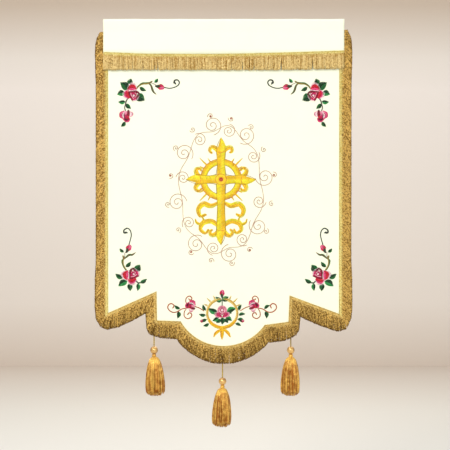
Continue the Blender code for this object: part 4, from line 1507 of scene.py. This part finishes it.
def makeStitching():
    outline = hemLoop(stitching["fromEdge"])
    closed = np.concatenate([outline, outline[:1]])
    arrays = stitchRow(closed, lambda x, z: clothBack(x, z, True), True)
    hem = addPiece("hem_stitching", arrays, [stitchThread],
                   dye=np.tile(dyeRgb["straw"], (arrays[3], 1)))
    reach = heading["width"] / 2 - stitching["sleeveMargin"]
    rows = []
    for z in stitching["sleeveRows"]:
        line = np.array([(-reach, z), (reach, z)])
        for sign in (-1, 1):
            skin = sign * (heading["layer"] + 0.1 * mm)
            rows.append(stitchRow(line, lambda x, z, skin=skin: np.full_like(x, skin), sign > 0))
    arrays = joinArrays(rows)
    seam = addPiece("sleeve_stitching", arrays, [stitchThread],
                    dye=np.tile(dyeRgb["ivory"], (arrays[3], 1)))
    return hem, seam


hemStitching, sleeveStitching = makeStitching()
print("seams stitched")


# The cloth's size as plain numbers, which nothing keeps

tuple(float(s) for s in clothSize)


# Studio: a pale floor, a wall far behind and large soft lights

studio = {
    "floorZ": -2.09,
    "wallY": 6.0,
    # Shades up the wall from its foot, and along the floor from the front to the wall: painted shade makes
    # the wall darker at its foot and top and palest in the middle, and the floor darker towards the wall
    "wall": ((-2.1, "#D8CCC0"), (-1.5, "#E8E0D8"), (0.5, "#ECE4DE"), (0.8, "#E4DCD4"), (1.3, "#C4B4A4")),
    "floor": ((2.4, "#E0E0DC"), (3.6, "#DEDCD6"), (6.0, "#D8CCC0")),
    # Name, place, what it shines at, size, power and colour
    "lights": (
        ("key", (-2.4, -4.4, 2.2), (0, 0, -0.75), (1.6, 1.6), 195, "#FFF9F0"),
        ("fill", (2.8, -4.6, 0.0), (0, 0, -0.75), (3.0, 3.0), 74, "#FFFDF8"),
        ("back", (0.5, 3.8, 1.8), (0, 0, -0.75), (2.4, 2.4), 60, "#FFF6EA"),
        ("wash", (0, 0.8, 4.6), (0, 6, -1.2), (7.0, 1.5), 150, "#FFFDF8"),
    ),
    "worldColour": "#FFFFFF",
    "worldStrength": 0.58,
}


def plainMaterial(name, stops, axis):
    # Matt paint whose colour changes softly along an axis; the studio uses this for painted shade on the wall
    # and floor
    material, tree, shader = newMaterial(name)
    place = addNode(tree, "ShaderNodeTexCoord")
    split = addNode(tree, "ShaderNodeSeparateXYZ", {}, {0: place.outputs["Object"]})
    low, high = stops[0][0], stops[-1][0]
    share = addNode(tree, "ShaderNodeMapRange", {"From Min": low, "From Max": high},
                    {"Value": split.outputs[axis]})
    ramp = addNode(tree, "ShaderNodeValToRGB", {}, {0: share.outputs[0]})
    ramp.color_ramp.interpolation = "LINEAR"
    elements = ramp.color_ramp.elements   # two to start with
    for i, (at, colour) in enumerate(stops):
        position = (at - low) / (high - low)
        stop = elements[i] if i < 2 else elements.new(position)
        stop.position = position
        stop.color = linear(colour)
    setShader(tree, shader, {"Roughness": 0.9, "Specular IOR Level": 0.2}, {"Base Color": ramp.outputs[0]})
    return material


def panel(name, corners, material):
    mesh = bpy.data.meshes.new(name)
    mesh.from_pydata(corners, [], [tuple(range(len(corners)))])
    mesh.materials.append(material)
    addObject(name, mesh)


def areaLight(name, place, aim, size, power, colour):
    data = bpy.data.lights.new(name, "AREA")
    data.shape = "RECTANGLE"
    data.size, data.size_y = size
    data.energy = power
    data.color = linear(colour)[:3]
    light = addObject(name, data)
    light.location = place
    x, y, z = np.array(aim) - np.array(place)
    light.rotation_euler = (math.atan2(math.hypot(x, y), -z), 0, math.atan2(x, -y) + math.pi)


def makeStudio():
    wall = plainMaterial("painted wall", studio["wall"], "Z")
    floor = plainMaterial("pale studio floor", studio["floor"], "Y")
    z, y = studio["floorZ"], studio["wallY"]
    panel("floor", [(-14, -9, z), (14, -9, z), (14, y, z), (-14, y, z)], floor)
    panel("wall", [(-14, y, z), (14, y, z), (14, y, 7), (-14, y, 7)], wall)
    for light in studio["lights"]:
        areaLight(*light)
    world = bpy.data.worlds.new("studio")
    world.use_nodes = True
    background = world.node_tree.nodes["Background"]
    background.inputs["Color"].default_value = linear(studio["worldColour"])
    background.inputs["Strength"].default_value = studio["worldStrength"]
    bpy.context.scene.world = world
    # Plain sRGB, so that the dyes and the white cloth keep their own colours
    bpy.context.scene.view_settings.view_transform = "Standard"


makeStudio()
print("studio lit")
